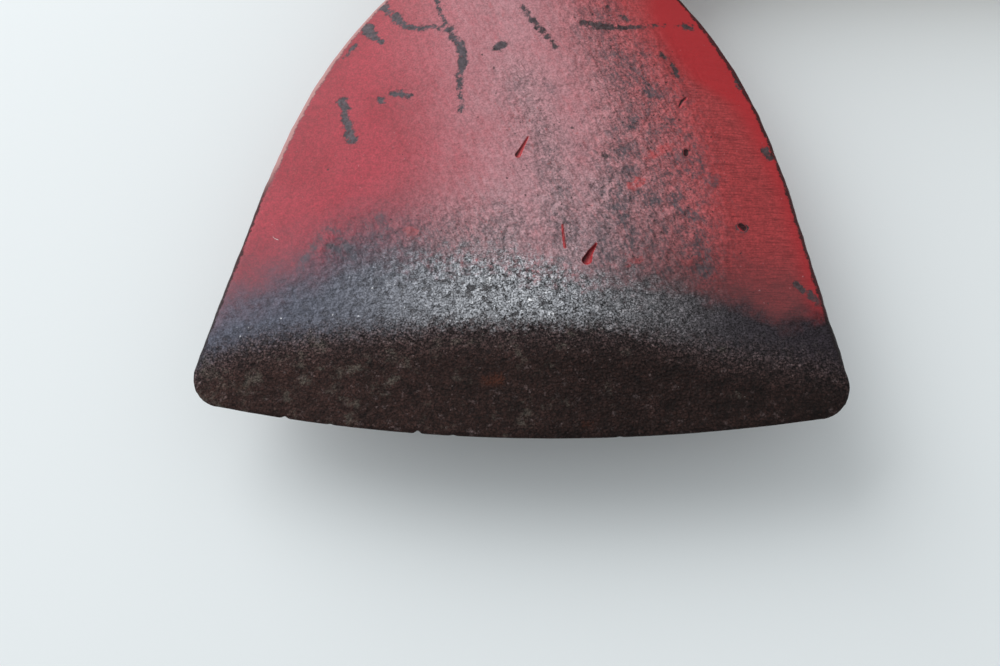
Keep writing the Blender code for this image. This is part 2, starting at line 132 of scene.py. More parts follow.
class RingMesh:
    """Closed skin through rings of points, whose second half mirrors the first half backwards."""

    def __init__(self) -> None:
        self.points: list[Array] = []
        self.faces: list[tuple[int, ...]] = []
        self.last: Optional[Array] = None

    def add_ring(self, ring: Array) -> None:
        """Join one more ring to the last one; a ring of fewer points skips every other one."""
        start = sum(len(part) for part in self.points)
        self.points.append(ring)
        indices = np.arange(start, start + len(ring))
        if self.last is None:
            self.cap(indices)
        elif len(self.last) == len(indices):
            self.bridge(self.last, indices)
        else:
            self.bridge_to_sparse(self.last, indices)
        self.last = indices

    def bridge(self, first: Array, second: Array) -> None:
        """Quads between two rings of the same count."""
        after_first = np.roll(first, -1)
        after_second = np.roll(second, -1)
        self.faces += list(zip(first.tolist(), after_first.tolist(), after_second.tolist(), second.tolist()))

    def bridge_to_sparse(self, dense: Array, sparse: Array) -> None:
        """Triangles and quads from a ring to one with the points that sparse_ring keeps."""
        kept = sparse_ring(len(dense))
        count = len(dense)
        for i, start in enumerate(kept):
            end = kept[(i + 1) % len(kept)]
            low, high = int(sparse[i]), int(sparse[(i + 1) % len(sparse)])
            if (end - start) % count == 1:
                self.faces.append((int(dense[start]), int(dense[end]), high, low))
                continue
            between = int(dense[(start + 1) % count])
            self.faces.append((int(dense[start]), between, low))
            self.faces.append((between, high, low))
            self.faces.append((between, int(dense[end]), high))

    def cap(self, ring: Array) -> None:
        """Quads across one ring, between its first half and the mirrored second half."""
        count = len(ring)
        for i in range(count // 2 - 1):
            self.faces.append(tuple(int(ring[k]) for k in (i, i + 1, count - 2 - i, count - 1 - i)))

    def make(self, name: str) -> Object:
        """Close the last ring and put the skin into a new object.

        Args:
            name: name of the object.

        Returns:
            The object, with its faces pointing out.
        """
        self.cap(self.last)
        mesh = bpy.data.meshes.new(name)
        mesh.from_pydata(np.concatenate(self.points).tolist(), [], self.faces)
        body = bmesh.new()
        body.from_mesh(mesh)
        bmesh.ops.recalc_face_normals(body, faces=body.faces)
        body.to_mesh(mesh)
        body.free()
        obj = bpy.data.objects.new(name, mesh)
        bpy.context.scene.collection.objects.link(obj)
        return obj


def sparse_ring(count: int) -> list[int]:
    """Every other place of a ring's first half, and the same places mirrored."""
    first = list(range(0, count // 2, 2))
    return first + [count - 1 - i for i in reversed(first)]


def loft(name: str, rings: Iterable[Array]) -> Object:
    """Object with a closed skin through rings of the same count."""
    skin = RingMesh()
    for ring in rings:
        skin.add_ring(np.asarray(ring, float))
    return skin.make(name)


def cut(obj: Object, cutters: Sequence[Object]) -> None:
    """Take the cutters' shapes out of an object, and delete the cutters."""
    for cutter in cutters:
        modifier = obj.modifiers.new("cut", "BOOLEAN")
        modifier.operation = "DIFFERENCE"
        modifier.object = cutter
    bpy.context.view_layer.update()
    depsgraph = bpy.context.evaluated_depsgraph_get()
    result = bpy.data.meshes.new_from_object(obj.evaluated_get(depsgraph))
    obj.modifiers.clear()
    obj.data = result
    for cutter in cutters:
        bpy.data.objects.remove(cutter, do_unlink=True)


def places(mesh: Mesh) -> Array:
    """Every vertex of a mesh, one row each."""
    flat = np.zeros(3 * len(mesh.vertices), np.float32)
    mesh.vertices.foreach_get("co", flat)
    return flat.reshape(-1, 3).astype(float)


def normals(mesh: Mesh) -> Array:
    """The normal at every vertex, one row each."""
    flat = np.zeros(3 * len(mesh.vertices), np.float32)
    mesh.vertex_normals.foreach_get("vector", flat)
    return flat.reshape(-1, 3).astype(float)


def put_places(mesh: Mesh, points: Array) -> None:
    """Move every vertex of a mesh."""
    mesh.vertices.foreach_set("co", points.astype(np.float32).ravel())
    mesh.update()


def put_masks(mesh: Mesh, masks: dict[str, Array]) -> None:
    """Keep values at the vertices under names that the finishes read."""
    for name, values in masks.items():
        layer = mesh.attributes.new(name, "FLOAT", "POINT")
        layer.data.foreach_set("value", values.astype(np.float32))


def refine(mesh: Mesh, near: Array, cuts: int) -> None:
    """Divide the edges between the vertices that are marked, so that small forms fit there."""
    body = bmesh.new()
    body.from_mesh(mesh)
    edges = [edge for edge in body.edges if near[edge.verts[0].index] and near[edge.verts[1].index]]
    bmesh.ops.subdivide_edges(body, edges=edges, cuts=cuts, use_grid_fill=True)
    body.to_mesh(mesh)
    body.free()


def oval(half_width: float, half_thickness: float, squareness: float, count: int) -> Array:
    """(across, up) points of a rounded oval, whose lower half mirrors its upper half."""
    angle = 2 * math.pi * (np.arange(count) + 0.5) / count
    across = np.sign(np.cos(angle)) * np.abs(np.cos(angle)) ** (2 / squareness)
    up = np.sign(np.sin(angle)) * np.abs(np.sin(angle)) ** (2 / squareness)
    return np.stack([across * half_width, up * half_thickness], 1)


def rounded_rectangle(half_width: float, half_thickness: float, radius: float, corner: int) -> Array:
    """(across, up) points of a rectangle with round corners, in the order of the oval's points."""
    parts = []
    for quarter, (side, top) in enumerate(((1, 1), (-1, 1), (-1, -1), (1, -1))):
        angle = math.pi / 2 * (quarter + np.arange(corner) / (corner - 1))
        across = side * (half_width - radius) + radius * np.cos(angle)
        parts.append(np.stack([across, top * (half_thickness - radius) + radius * np.sin(angle)], 1))
    return np.concatenate(parts)


def along_x(x: float, outline: Array, shift: float = 0.0) -> Array:
    """Ring square to the haft from (across, up) points."""
    return np.column_stack([np.full(len(outline), x), outline[:, 0] + shift, outline[:, 1]])


# The photograph's view


@dataclass(frozen=True)
class PhotoView:
    """Camera that sees the blade as the photograph does, whose frame is 1000 by 666 pixels."""

    position: tuple[float, float, float] = (0.0124, -0.1703, 0.1860)
    aim: tuple[float, float, float] = (-0.0025, -0.1024, 0.0170)
    picture_top: tuple[float, float, float] = (-0.0151, 0.9274, 0.3737)
    lens_pixels: float = 1200.0
    width: int = 1000
    height: int = 666
    sensor_width: float = 36.0

    def axes(self) -> tuple[Vector, Vector, Vector]:
        """Right, up and back directions of the camera."""
        back = (Vector(self.position) - Vector(self.aim)).normalized()
        right = Vector(self.picture_top).cross(back).normalized()
        return right, back.cross(right), back

    def on_level(self, pixel: Pixel, level: float) -> Vector:
        """Place where the sight line through a pixel meets a level plane."""
        right, up, back = self.axes()
        across, down = pixel[0] - self.width / 2, pixel[1] - self.height / 2
        ray = right * across - up * down - back * self.lens_pixels
        start = Vector(self.position)
        return start + ray * ((level - start.z) / ray.z)

    def make_camera(self) -> Object:
        """The camera object, set as the scene's own."""
        right, up, back = self.axes()
        data = bpy.data.cameras.new("photo_view")
        data.sensor_width = self.sensor_width
        data.lens = self.lens_pixels / self.width * self.sensor_width
        data.clip_start = 10 * MM
        camera = bpy.data.objects.new("photo_view", data)
        turn = Matrix((right, up, back)).transposed().to_4x4()
        camera.matrix_world = Matrix.Translation(self.position) @ turn
        bpy.context.scene.collection.objects.link(camera)
        bpy.context.scene.camera = camera
        return camera


# The head's form


@dataclass
class HeadForm:
    """Sizes of the forged head, and the curves that follow from them."""

    bit_width: float = 0.1004
    bit_sag: float = 0.0049
    bit_edge_thickness: float = 0.0008
    bit_edge_round: float = 0.0004
    bit_corner_radius: float = 0.005
    bevel_length: float = 0.0183
    bevel_corner_length: float = 0.0072
    bevel_thickness: float = 0.0054
    bevel_softness: float = 0.0005
    blade_length: float = 0.095
    blade_flare: float = 0.232
    shoulder_start: float = 0.033
    shoulder_power: float = 2.9
    shoulder_fillet: float = 0.004
    neck_length: float = 0.010
    neck_height: float = 0.0364
    root_thickness: float = 0.0096
    side_thickness: float = 0.0044
    crown_power: float = 2.4
    cheek_flare_length: float = 0.020
    side_flare_length: float = 0.011
    side_round: float = 0.0013
    eye_height: float = 0.042
    eye_edge_radius: float = 0.006
    eye_edge_drop: float = 0.0018
    eye_pad_inset: float = 0.003
    pick_length: float = 0.130
    pick_root_height: float = 0.024
    pick_root_thickness: float = 0.019
    pick_tip: float = 0.0026
    pick_flare_length: float = 0.020
    pick_droop: float = 0.006
    pick_side_share: float = 0.45
    pick_flat_share: float = 0.35

    def __post_init__(self) -> None:
        low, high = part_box("axe_head")
        self.bit_y = low.y
        self.eye_half_width = -(low.y + self.blade_length)
        self.eye_half_height = self.eye_height / 2
        self.eye_half_thickness = (high.z - low.z) / 2
        self.pick_tip_y = high.y
        self.place_corner()

    def place_corner(self) -> None:
        """Work out the arc between the cutting edge and the blade's side."""
        rise = math.atan(2 * self.bit_sag / (self.bit_width / 2))
        lean = math.atan(self.blade_flare)
        edge = (-math.sin(rise), math.cos(rise))
        side = (-math.cos(lean), -math.sin(lean))
        turn = edge[0] * side[1] - edge[1] * side[0]
        radius = self.bit_corner_radius
        self.corner_across = self.bit_width / 2 + radius * (side[1] - edge[1]) / turn
        self.corner_along = self.bit_sag + radius * (edge[0] - side[0]) / turn
        self.corner_edge = self.corner_across - radius * edge[0]
        self.corner_side = self.corner_along - radius * side[1]
        outward = (-edge[0] - side[0], -edge[1] - side[1])
        length = math.hypot(*outward)
        self.tip_across = self.corner_across + radius * outward[0] / length
        self.tip_along = self.corner_along + radius * outward[1] / length

    def bit_distance(self, across: Array) -> Array:
        """How far the cutting edge lies behind the middle of the bit, at a place across it."""
        across = np.abs(across)
        curve = self.bit_sag * (across / (self.bit_width / 2)) ** 2
        reach = np.clip(across - self.corner_across, 0.0, self.bit_corner_radius)
        arc = self.corner_along - np.sqrt(self.bit_corner_radius**2 - reach**2)
        return np.where(across <= self.corner_edge, curve, arc)

    def half_width(self, y: float) -> float:
        """Half the head's height along the haft, at a place from the bit to the pick's tip."""
        along = y - self.bit_y
        if y >= 0:
            taper = max(y - self.eye_half_width, 0.0) / self.pick_length
            pick = mix(self.pick_root_height, self.pick_tip, taper) / 2
            share = float(ease((y - self.eye_half_width) / self.pick_flare_length))
            return mix(self.eye_half_height, pick, share)
        if along < self.corner_side:
            drop = min(self.corner_along - along, self.bit_corner_radius)
            return self.corner_across + math.sqrt(self.bit_corner_radius**2 - drop**2)
        straight = self.bit_width / 2 - self.blade_flare * (along - self.bit_sag)
        shoulder_end = self.blade_length - self.neck_length
        end = self.bit_width / 2 - self.blade_flare * (shoulder_end - self.bit_sag)
        share = max(along - self.shoulder_start, 0.0) / (shoulder_end - self.shoulder_start)
        blade = straight - (end - self.neck_height / 2) * share**self.shoulder_power
        blade = float(smooth_maximum(blade, self.neck_height / 2, self.shoulder_fillet))
        pad = self.eye_half_width - self.eye_pad_inset
        return mix(blade, self.eye_half_height, float(ease(1 - (-pad - y) / self.side_flare_length)))

    def eye_shares(self, y: Array) -> tuple[Array, Array]:
        """How much of the eye's form the middle and the sides have, from 0 to 1."""
        pad = self.eye_half_width - self.eye_pad_inset
        middle = ease(1 - (-pad - y) / self.cheek_flare_length)
        side = ease(1 - (-pad - y) / self.side_flare_length)
        pick = 1 - ease((y - pad) / (self.pick_flare_length + self.eye_pad_inset))
        return np.where(y < 0, middle, pick), np.where(y < 0, side, pick)

    def height(self, share: Array, y: Array, x: Array) -> Array:
        """Height of the head's surface over its middle plane.

        Args:
            share: places across the head, from -1 to 1.
            y: places along the head.
            x: the same places across, in metres.

        Returns:
            Half the thickness there, before dents and wear.
        """
        along = y - self.bit_y
        rise = np.maximum(along - self.bevel_length, 0.0) / (self.blade_length - self.bevel_length)
        slope = (self.bevel_thickness - self.bit_edge_thickness) / 2 / self.bevel_length
        edge_side = self.bit_edge_thickness / 2 + slope * self.bevel_corner_length
        taper = np.maximum(y - self.eye_half_width, 0.0) / self.pick_length
        pick = mix(self.pick_root_thickness, self.pick_tip, taper) / 2
        plate = mix(self.bevel_thickness, self.root_thickness, rise) / 2
        middle = np.where(y < 0, plate, pick)
        side = np.where(y < 0, mix(edge_side, self.side_thickness / 2, rise), pick * self.pick_side_share)
        share_middle, share_side = self.eye_shares(y)
        middle = mix(middle, self.eye_half_thickness, share_middle)
        side = mix(side, self.eye_half_thickness - self.eye_edge_drop, share_side)
        flat_start = np.where(y > 0, self.pick_flat_share, 0.0)
        flat = mix(flat_start, 1 - self.eye_edge_radius / self.eye_half_height, share_side)
        drop = np.maximum(np.abs(share) - flat, 0.0) / (1 - flat)
        cheek = middle - (middle - side) * drop**self.crown_power
        inward = np.maximum(along - self.bit_distance(x), 0.0)
        turn = np.clip(1 - inward / self.bit_edge_round, 0.0, 0.99)
        bevel = self.bit_edge_thickness / 2 * np.sqrt(1 - turn * turn) + slope * inward
        return np.where(along < self.shoulder_start, smooth_minimum(bevel, cheek, self.bevel_softness), cheek)

    def side_share(self, x: Array, y: Array) -> Array:
        """Share across the head at a place on it, from -1 to 1."""
        steps = np.linspace(self.bit_y + self.tip_along, self.pick_tip_y, 400)
        widths = np.array([self.half_width(float(step)) for step in steps])
        return np.clip(x / np.interp(y, steps, widths), -1.0, 1.0)

    def on_cheek(self, view: PhotoView, pixel: Pixel) -> tuple[float, float]:
        """Place (x, y) on the upper cheek that a pixel of the photograph shows."""
        level = AXIS_HEIGHT + self.bevel_thickness / 2
        for _ in range(3):
            place = view.on_level(pixel, level)
            x, y = np.array([place.x]), np.array([place.y])
            level = AXIS_HEIGHT + float(self.height(self.side_share(x, y), y, x)[0])
        return place.x, place.y


# Marks on the cheeks


class Wear(Enum):
    """Kinds of wear, by the names under which the head keeps them; the scuffed band also places a painted
    sheen.
    """

    CHIP = "chip"
    RUB = "rub"
    SCUFF_AND_SHEEN = "scuff"
    GRIME = "grime"
    FRESH = "fresh"
    CRUST = "crust"
    STAIN = "stain"
    PALE = "pale"


@dataclass(frozen=True)
class Mark:
    """Mark along pixels of the photograph, with half widths at its two ends in millimetres."""

    pixels: tuple[Pixel, ...]
    start: float
    end: float


@dataclass(frozen=True)
class Gouge:
    """Dent along pixels of the photograph: half widths at its two ends and depth in millimetres, and the
    share of painted shade in it.
    """

    pixels: tuple[Pixel, ...]
    start: float
    end: float
    depth: float
    painted_shade: float = 0.3


CHIPS = (
    Mark(((383, 5), (389, 12)), 0.85, 0.6),
    Mark(((394, 16), (398, 21), (404, 25)), 0.7, 0.6),
    Mark(((404, 25), (418, 28), (438, 26)), 0.55, 0.4),
    Mark(((440, 26), (450, 30)), 0.55, 0.7),
    Mark(((435, -6), (441, 15), (447, 27), (453, 35), (460, 45)), 0.25, 0.5),
    Mark(((460, 45), (462, 56), (463, 66), (460, 75)), 0.75, 0.6),
    Mark(((460, 75), (460, 92), (462, 109)), 0.25, 0.3),
    Mark(((367, 27), (371, 34), (381, 42)), 1.05, 0.5),
    Mark(((356, 44), (350, 50), (343, 58)), 0.4, 0.2),
    Mark(((342, 103), (344, 107)), 1.0, 0.9),
    Mark(((344, 108), (345, 120), (349, 129), (352, 139)), 0.5, 0.75),
    Mark(((393, 93), (408, 95)), 0.45, 0.5),
    Mark(((380, 100), (383, 102)), 0.4, 0.4),
    Mark(((496, 47), (504, 44)), 0.5, 0.75),
    Mark(((522, 7), (531, 19), (542, 30), (556, 47)), 0.35, 0.5),
    Mark(((581, 22), (594, 25), (616, 28), (634, 27)), 0.5, 0.6),
    Mark(((634, 27), (660, 25), (684, 24)), 0.2, 0.15),
    Mark(((683, 24), (691, 25)), 0.55, 0.35),
    Mark(((622, 16), (627, 19)), 0.4, 0.45),
    Mark(((609, 7), (612, 16)), 0.25, 0.3),
    Mark(((659, 54), (669, 58)), 0.2, 0.25),
    Mark(((673, 64), (677, 75)), 0.45, 0.35),
    Mark(((686, 151), (686, 154)), 0.4, 0.35),
    Mark(((740, 226), (743, 228)), 0.6, 0.6),
    Mark(((604, 153), (606, 158)), 0.35, 0.3),
    Mark(((328, 246), (331, 246)), 0.3, 0.3),
    Mark(((737, 79), (739, 84)), 0.4, 0.4),
    Mark(((766, 149), (769, 157)), 0.6, 0.6),
    Mark(((797, 285), (804, 290)), 0.4, 0.35),
    Mark(((810, 293), (817, 302)), 0.45, 0.5),
)
RUBS = (
    Mark(((641, 78), (648, 92)), 1.2, 1.2),
    Mark(((634, 118), (633, 127)), 0.9, 0.8),
    Mark(((622, 152), (637, 153)), 1.1, 1.0),
    Mark(((694, 150), (697, 163)), 1.0, 1.1),
    Mark(((694, 172), (714, 180)), 1.3, 1.3),
    Mark(((636, 196), (652, 202)), 1.4, 1.3),
    Mark(((612, 190), (618, 206)), 1.0, 1.2),
    Mark(((672, 200), (692, 215)), 1.2, 1.5),
    Mark(((700, 238), (706, 268)), 1.2, 1.6),
    Mark(((622, 216), (628, 240)), 1.1, 1.4),
    Mark(((545, 82), (552, 90)), 0.9, 0.9),
    Mark(((575, 62), (577, 70)), 0.6, 0.5),
    Mark(((302, 266), (312, 250), (322, 234)), 1.1, 0.6),
    Mark(((379, 219), (385, 230)), 1.1, 1.2),
    Mark(((337, 245), (352, 254)), 1.5, 1.2),
    Mark(((330, 228), (340, 234)), 0.8, 0.8),
)
# Scuffed band down the middle of the cheek, which also places the painted sheen.
SCUFFS_AND_SHEEN = (
    Mark(
        ((505, -60), (510, 20), (522, 70), (540, 120), (548, 170), (545, 220), (530, 262)),
        11.0, 19.0,
    ),
)
GRIMES = (
    Mark(((600, 20), (640, 90), (650, 160), (650, 250)), 5.0, 12.0),
    Mark(((520, 80), (560, 180), (570, 250)), 1.5, 5.0),
    Mark(((340, 250), (420, 240), (500, 235)), 3.0, 5.0),
)
FRESH_RED = (
    Mark(((648, 157), (668, 147)), 0.7, 0.9),
    Mark(((632, 186), (641, 181)), 0.9, 0.8),
    Mark(((407, 230), (415, 234)), 0.8, 0.9),
    Mark(((532, 274), (540, 270)), 0.5, 0.4),
    Mark(((606, 290), (608, 296)), 0.5, 0.5),
    Mark(((629, 263), (641, 259)), 0.7, 0.6),
    Mark(((686, 263), (695, 259)), 0.6, 0.6),
    Mark(((355, 269), (363, 266)), 0.6, 0.5),
)
CRUSTS = (
    Mark(((349, 370), (358, 368)), 0.7, 0.6),
    Mark(((388, 383), (397, 378)), 0.7, 0.6),
    Mark(((302, 383), (309, 381)), 0.5, 0.5),
    Mark(((318, 366), (323, 368)), 0.4, 0.4),
    Mark(((302, 340), (306, 343)), 0.4, 0.3),
    Mark(((388, 350), (393, 352)), 0.5, 0.4),
    Mark(((257, 380), (261, 382)), 0.4, 0.3),
    Mark(((224, 371), (229, 374)), 0.5, 0.4),
    Mark(((383, 393), (388, 395)), 0.4, 0.3),
    Mark(((340, 398), (346, 400)), 0.4, 0.4),
    Mark(((568, 333), (576, 336)), 0.6, 0.3),
    Mark(((559, 347), (565, 346)), 0.5, 0.4),
    Mark(((548, 363), (553, 366)), 0.3, 0.3),
    Mark(((622, 351), (629, 353)), 0.4, 0.4),
    Mark(((661, 337), (668, 338)), 0.4, 0.3),
    Mark(((720, 349), (729, 347)), 0.5, 0.3),
    Mark(((608, 386), (611, 392)), 0.4, 0.3),
    Mark(((737, 394), (742, 396)), 0.3, 0.3),
)
STAINS = (
    Mark(((485, 381), (499, 379)), 0.9, 1.1),
    Mark(((241, 386), (244, 387)), 0.3, 0.3),
    Mark(((585, 424), (592, 425)), 0.6, 0.5),
)
PALE_SCRATCHES = (
    Mark(((272, 235), (274, 238), (278, 239.5)), 0.02, 0.06),
)
GOUGES = (
    Gouge(((518, 155), (522, 148), (528, 137)), 0.42, 0.08, 0.25),
    Gouge(((587, 260), (590, 253), (596, 244)), 0.72, 0.12, 0.55),
    Gouge(((562.5, 225), (563.5, 236), (565, 247)), 0.12, 0.16, 0.12, 0.2),
    Gouge(((680, 106), (682, 101), (686, 98)), 0.22, 0.2, 0.16),
    Gouge(((741, 226), (743, 228)), 0.5, 0.5, 0.22, 1.2),
    Gouge(((686, 151), (686, 154)), 0.35, 0.3, 0.2, 2.0),
)
NICKS = ((417, 432, 0.45), (284, 417, 0.3), (452, 434, 0.14), (330, 423, 0.12), (620, 436, 0.12))
PAINT_EDGE = (
    (206, 334), (223, 322), (238, 314), (277, 300), (322, 281), (345, 268), (398, 260), (452, 256),
    (500, 256), (545, 265), (600, 280), (650, 286), (708, 299), (742, 309), (766, 320), (783, 327),
    (802, 324), (836, 310),
)
BEVEL_EDGE = (
    (197, 362), (206, 352), (249, 338), (292, 331), (356, 326), (452, 321), (528, 320), (577, 321),
    (650, 327), (722, 343), (795, 352), (846, 362),
)
FACET_EDGE = (
    (600, -10), (640, 30), (668, 75), (690, 110), (705, 150), (716, 190), (722, 240), (714, 285), (714, 330),
)
MARGIN_CREASE = (
    (640, 10), (654, 39), (681, 75), (724, 104), (740, 127), (771, 189), (790, 250), (802, 300), (812, 330),
)


@dataclass
class CheekMarks:
    """Where the marks lie on the blade, as distances and shares at any place of the head."""

    form: HeadForm
    view: PhotoView

    def path(self, pixels: Sequence[Pixel]) -> Array:
        """Places (x, y) on the cheek under a row of pixels."""
        return np.array([self.form.on_cheek(self.view, pixel) for pixel in pixels])

    @staticmethod
    def distance(points: Array, path: Array, start: float, end: float) -> Array:
        """Distance to a stroke's outline in millimetres, less than 0 inside it.

        Args:
            points: places (x, y), one row each.
            path: the stroke's middle line, two or more places.
            start: half width at its first place, in millimetres.
            end: half width at its last place.

        Returns:
            One distance for each place.
        """
        nearest = np.full(len(points), np.inf)
        legs = len(path) - 1
        for leg in range(legs):
            low, high = path[leg], path[leg + 1]
            run = high - low
            share = np.clip((points - low) @ run / max(run @ run, 1e-12), 0.0, 1.0)
            gap = np.linalg.norm(points - low - share[:, None] * run, axis=1) / MM
            nearest = np.minimum(nearest, gap - mix(start, end, (leg + share) / legs))
        return nearest

    def nearest(self, points: Array, marks: Sequence[Mark]) -> Array:
        """Distance to the nearest of several marks, in millimetres."""
        result = np.full(len(points), np.inf)
        for mark in marks:
            result = np.minimum(result, self.distance(points, self.path(mark.pixels), mark.start, mark.end))
        return result

    def level(self, x: Array, pixels: Sequence[Pixel]) -> Array:
        """The y of a line across the blade, at places x."""
        line = self.path(pixels)
        return np.interp(x, line[:, 0], line[:, 1])


def scattered_strokes(seed: int, low: Pixel, high: Pixel, count: int) -> list[tuple[Array, float, float]]:
    """Chipped strokes in a field, where the photograph doesn't reach.

    Args:
        seed: seed of the draw.
        low: lowest (x, y) of the field, in metres.
        high: highest (x, y) of the field.
        count: how many strokes.

    Returns:
        A path and the half widths at its two ends, in millimetres, for each stroke.
    """
    draw = np.random.default_rng(seed)
    strokes = []
    for _ in range(count):
        heading = draw.uniform(0.0, 2 * math.pi)
        steps = [draw.uniform(low, high)]
        for _ in range(int(draw.integers(1, 5))):
            heading += draw.normal(0.0, 0.7)
            reach = draw.uniform(0.6, 2.2) * MM
            steps.append(steps[-1] + reach * np.array([math.cos(heading), math.sin(heading)]))
        strokes.append((np.array(steps), float(draw.uniform(0.2, 0.8)), float(draw.uniform(0.15, 0.6))))
    return strokes


@dataclass
class Head:
    """Forged head: blade, eye and pick in one piece, with its dents and wear."""

    form: HeadForm
    marks: CheekMarks
    across: int = 161
    side_points: int = 4
    edge_rows: tuple[float, ...] = (0.0, 0.00008, 0.0002, 0.0004)
    blade_step: float = 0.00053
    eye_step: float = 0.0013
    dense_end: float = -0.028
    tip_round: float = 0.0006
    opening_half_width: float = 0.017
    opening_half_thickness: float = 0.0115
    opening_radius: float = 0.0065
    opening_chamfer: float = 0.0007
    forging_depth: float = 0.00007
    hammer_depth: float = 0.00002
    side_depth: float = 0.00016
    side_grain: float = 0.00008
    margin_slope: float = 0.075
    margin_fillet: float = 0.0008
    nick_width: float = 0.0004

    def __post_init__(self) -> None:
        self.shares = np.linspace(-1.0, 1.0, self.across)

    def ring(self, along: Array, side_along: float) -> Array:
        """Ring over the top of the head and back below it.

        Args:
            along: distance from the bit at each place across.
            side_along: distance from the bit at the two sides.

        Returns:
            Points of the ring, one row each.
        """
        form = self.form
        width = form.half_width(form.bit_y + side_along)
        y = form.bit_y + along
        top = form.height(self.shares, y, self.shares * width)
        side = float(top[-1])
        reach = min(form.side_round, 0.9 * side)
        fall = min(form.side_round, 0.85 * side)
        droop = form.pick_droop * (np.maximum(y - form.eye_half_width, 0.0) / form.pick_length) ** 2
        middle = np.column_stack([self.shares * (width - reach) + droop, y, top])
        angle = math.pi / 2 * (1 - np.arange(1, self.side_points + 1) / self.side_points)
        right = np.column_stack([
            width - reach + reach * np.cos(angle) + droop[-1],
            np.full(len(angle), y[-1]),
            side - fall + fall * np.sin(angle),
        ])
        left = right[::-1] * (-1, 1, 1) + (2 * droop[0], 0, 0)
        upper = np.concatenate([left, middle, right])
        lower = upper[::-1] * (1, 1, -1)
        return np.concatenate([upper, lower]) + (0, 0, AXIS_HEIGHT)

    def build(self) -> Object:
        """The head's mesh, with the eye's opening, its dents and the values that its finish reads."""
        form = self.form
        skin = RingMesh()
        steps = np.arange(form.shoulder_start, 2 * self.edge_rows[-1], -self.blade_step)[::-1]
        bit = form.bit_distance(self.shares * form.tip_across)
        for step in (*self.edge_rows, *steps[:-1]):
            share = step / form.shoulder_start
            along = mix(bit, form.shoulder_start, share)
            skin.add_ring(self.ring(along, mix(form.tip_along, form.shoulder_start, share)))
        rows = round((self.dense_end - form.bit_y - form.shoulder_start) / self.blade_step)
        for along in np.linspace(form.shoulder_start, self.dense_end - form.bit_y, rows):
            skin.add_ring(self.ring(np.full(self.across, along), along))
        kept = sparse_ring(len(skin.last))
        rows = round((form.pick_tip_y - self.dense_end) / self.eye_step)
        end = form.pick_tip_y - form.bit_y
        for along in np.linspace(self.dense_end - form.bit_y + self.eye_step, end - self.tip_round, rows):
            skin.add_ring(self.ring(np.full(self.across, along), along)[kept])
        tip = self.ring(np.full(self.across, end), end)[kept]
        middle = tip.mean(0)
        skin.add_ring(middle + (tip - middle) * (0.6, 1.0, 0.6))
        head = skin.make("fire_axe_head")
        self.open_eye(head)
        self.refine_dents(head.data)
        self.dent(head.data)
        put_masks(head.data, self.wear(head.data))
        return head

    def open_eye(self, head: Object) -> None:
        """Cut the opening for the haft through the eye, with its rim broken."""
        reach = self.form.eye_half_height
        overcut = 2 * MM
        rings = []
        for x, margin in (
            (-reach - overcut, self.opening_chamfer + overcut),
            (-reach + self.opening_chamfer, 0.0),
            (reach - self.opening_chamfer, 0.0),
            (reach + overcut, self.opening_chamfer + overcut),
        ):
            width, thickness = self.opening_half_width + margin, self.opening_half_thickness + margin
            outline = rounded_rectangle(width, thickness, self.opening_radius + margin, 14)
            rings.append(along_x(x, outline) + (0, 0, AXIS_HEIGHT))
        cut(head, [loft("eye_opening", rings)])

    def refine_dents(self, mesh: Mesh) -> None:
        """Divide the mesh round the gouges and the nicks in the cutting edge."""
        points = places(mesh)
        above = points[:, 2] > AXIS_HEIGHT
        near = np.zeros(len(points), bool)
        for gouge in GOUGES:
            path = self.marks.path(gouge.pixels)
            near |= above & (self.marks.distance(points[:, :2], path, gouge.start, gouge.end) < 0.9)
        for mark in PALE_SCRATCHES:
            near |= above & (self.marks.nearest(points[:, :2], [mark]) < 0.9)
        for x, y, _ in NICKS:
            place = self.marks.path([(x, y)])[0]
            near |= np.linalg.norm(points[:, :2] - place, axis=1) < 1.5 * MM
        refine(mesh, near, 3)

    def dent(self, mesh: Mesh) -> None:
        """Press the forging's unevenness, the ground margin, the gouges and the nicks into the mesh."""
        form = self.form
        points = places(mesh)
        flatness = ease((np.abs(normals(mesh)[:, 2]) - 0.4) / 0.5)
        rise = self.forging_depth * lumps(points, 9 * MM, 3.0)
        rise += self.hammer_depth * lumps(points, 2.4 * MM, 8.0)
        above = points[:, 2] > AXIS_HEIGHT
        crease = self.marks.path(MARGIN_CREASE)[::-1]
        across = points[:, 0] - np.interp(points[:, 1], crease[:, 1], crease[:, 0])
        start, end = crease[0, 1], crease[-1, 1]
        ends = ease((points[:, 1] - start) / (8 * MM)) * (1 - ease((points[:, 1] - end) / (8 * MM)))
        margin = smooth_maximum(across, np.zeros(len(points)), self.margin_fillet) * ends
        rise = rise - np.where(above, self.margin_slope * margin, 0.0)
        for gouge in GOUGES:
            gap = self.marks.distance(points[:, :2], self.marks.path(gouge.pixels), gouge.start, gouge.end)
            bowl = np.clip(-gap / max(gouge.start, gouge.end), 0.0, 1.0)
            rim = np.exp(-(((gap - 0.15) / 0.2) ** 2))
            hollow = gouge.depth * MM * (0.14 * rim - np.sqrt(1 - (1 - bowl) ** 2))
            rise = rise + np.where(above, hollow, 0.0)
        points[:, 2] += np.where(above, 1.0, -1.0) * flatness * rise
        inward = points[:, 1] - form.bit_y - form.bit_distance(points[:, 0])
        for x, y, depth in NICKS:
            place = self.marks.path([(x, y)])[0]
            bite = depth * MM * np.exp(-(((points[:, 0] - place[0]) / self.nick_width) ** 2))
            points[:, 1] += bite * ease(1 - inward / MM)
        wobble = (1 - flatness) * np.where(np.abs(points[:, 1]) > form.eye_half_width, 1.0, 0.0)
        ragged = self.side_depth * lumps(points, 3.5 * MM, 5.0)
        points[:, 0] += wobble * (ragged + self.side_grain * lumps(points, 1.3 * MM, 7.0))
        put_places(mesh, points)

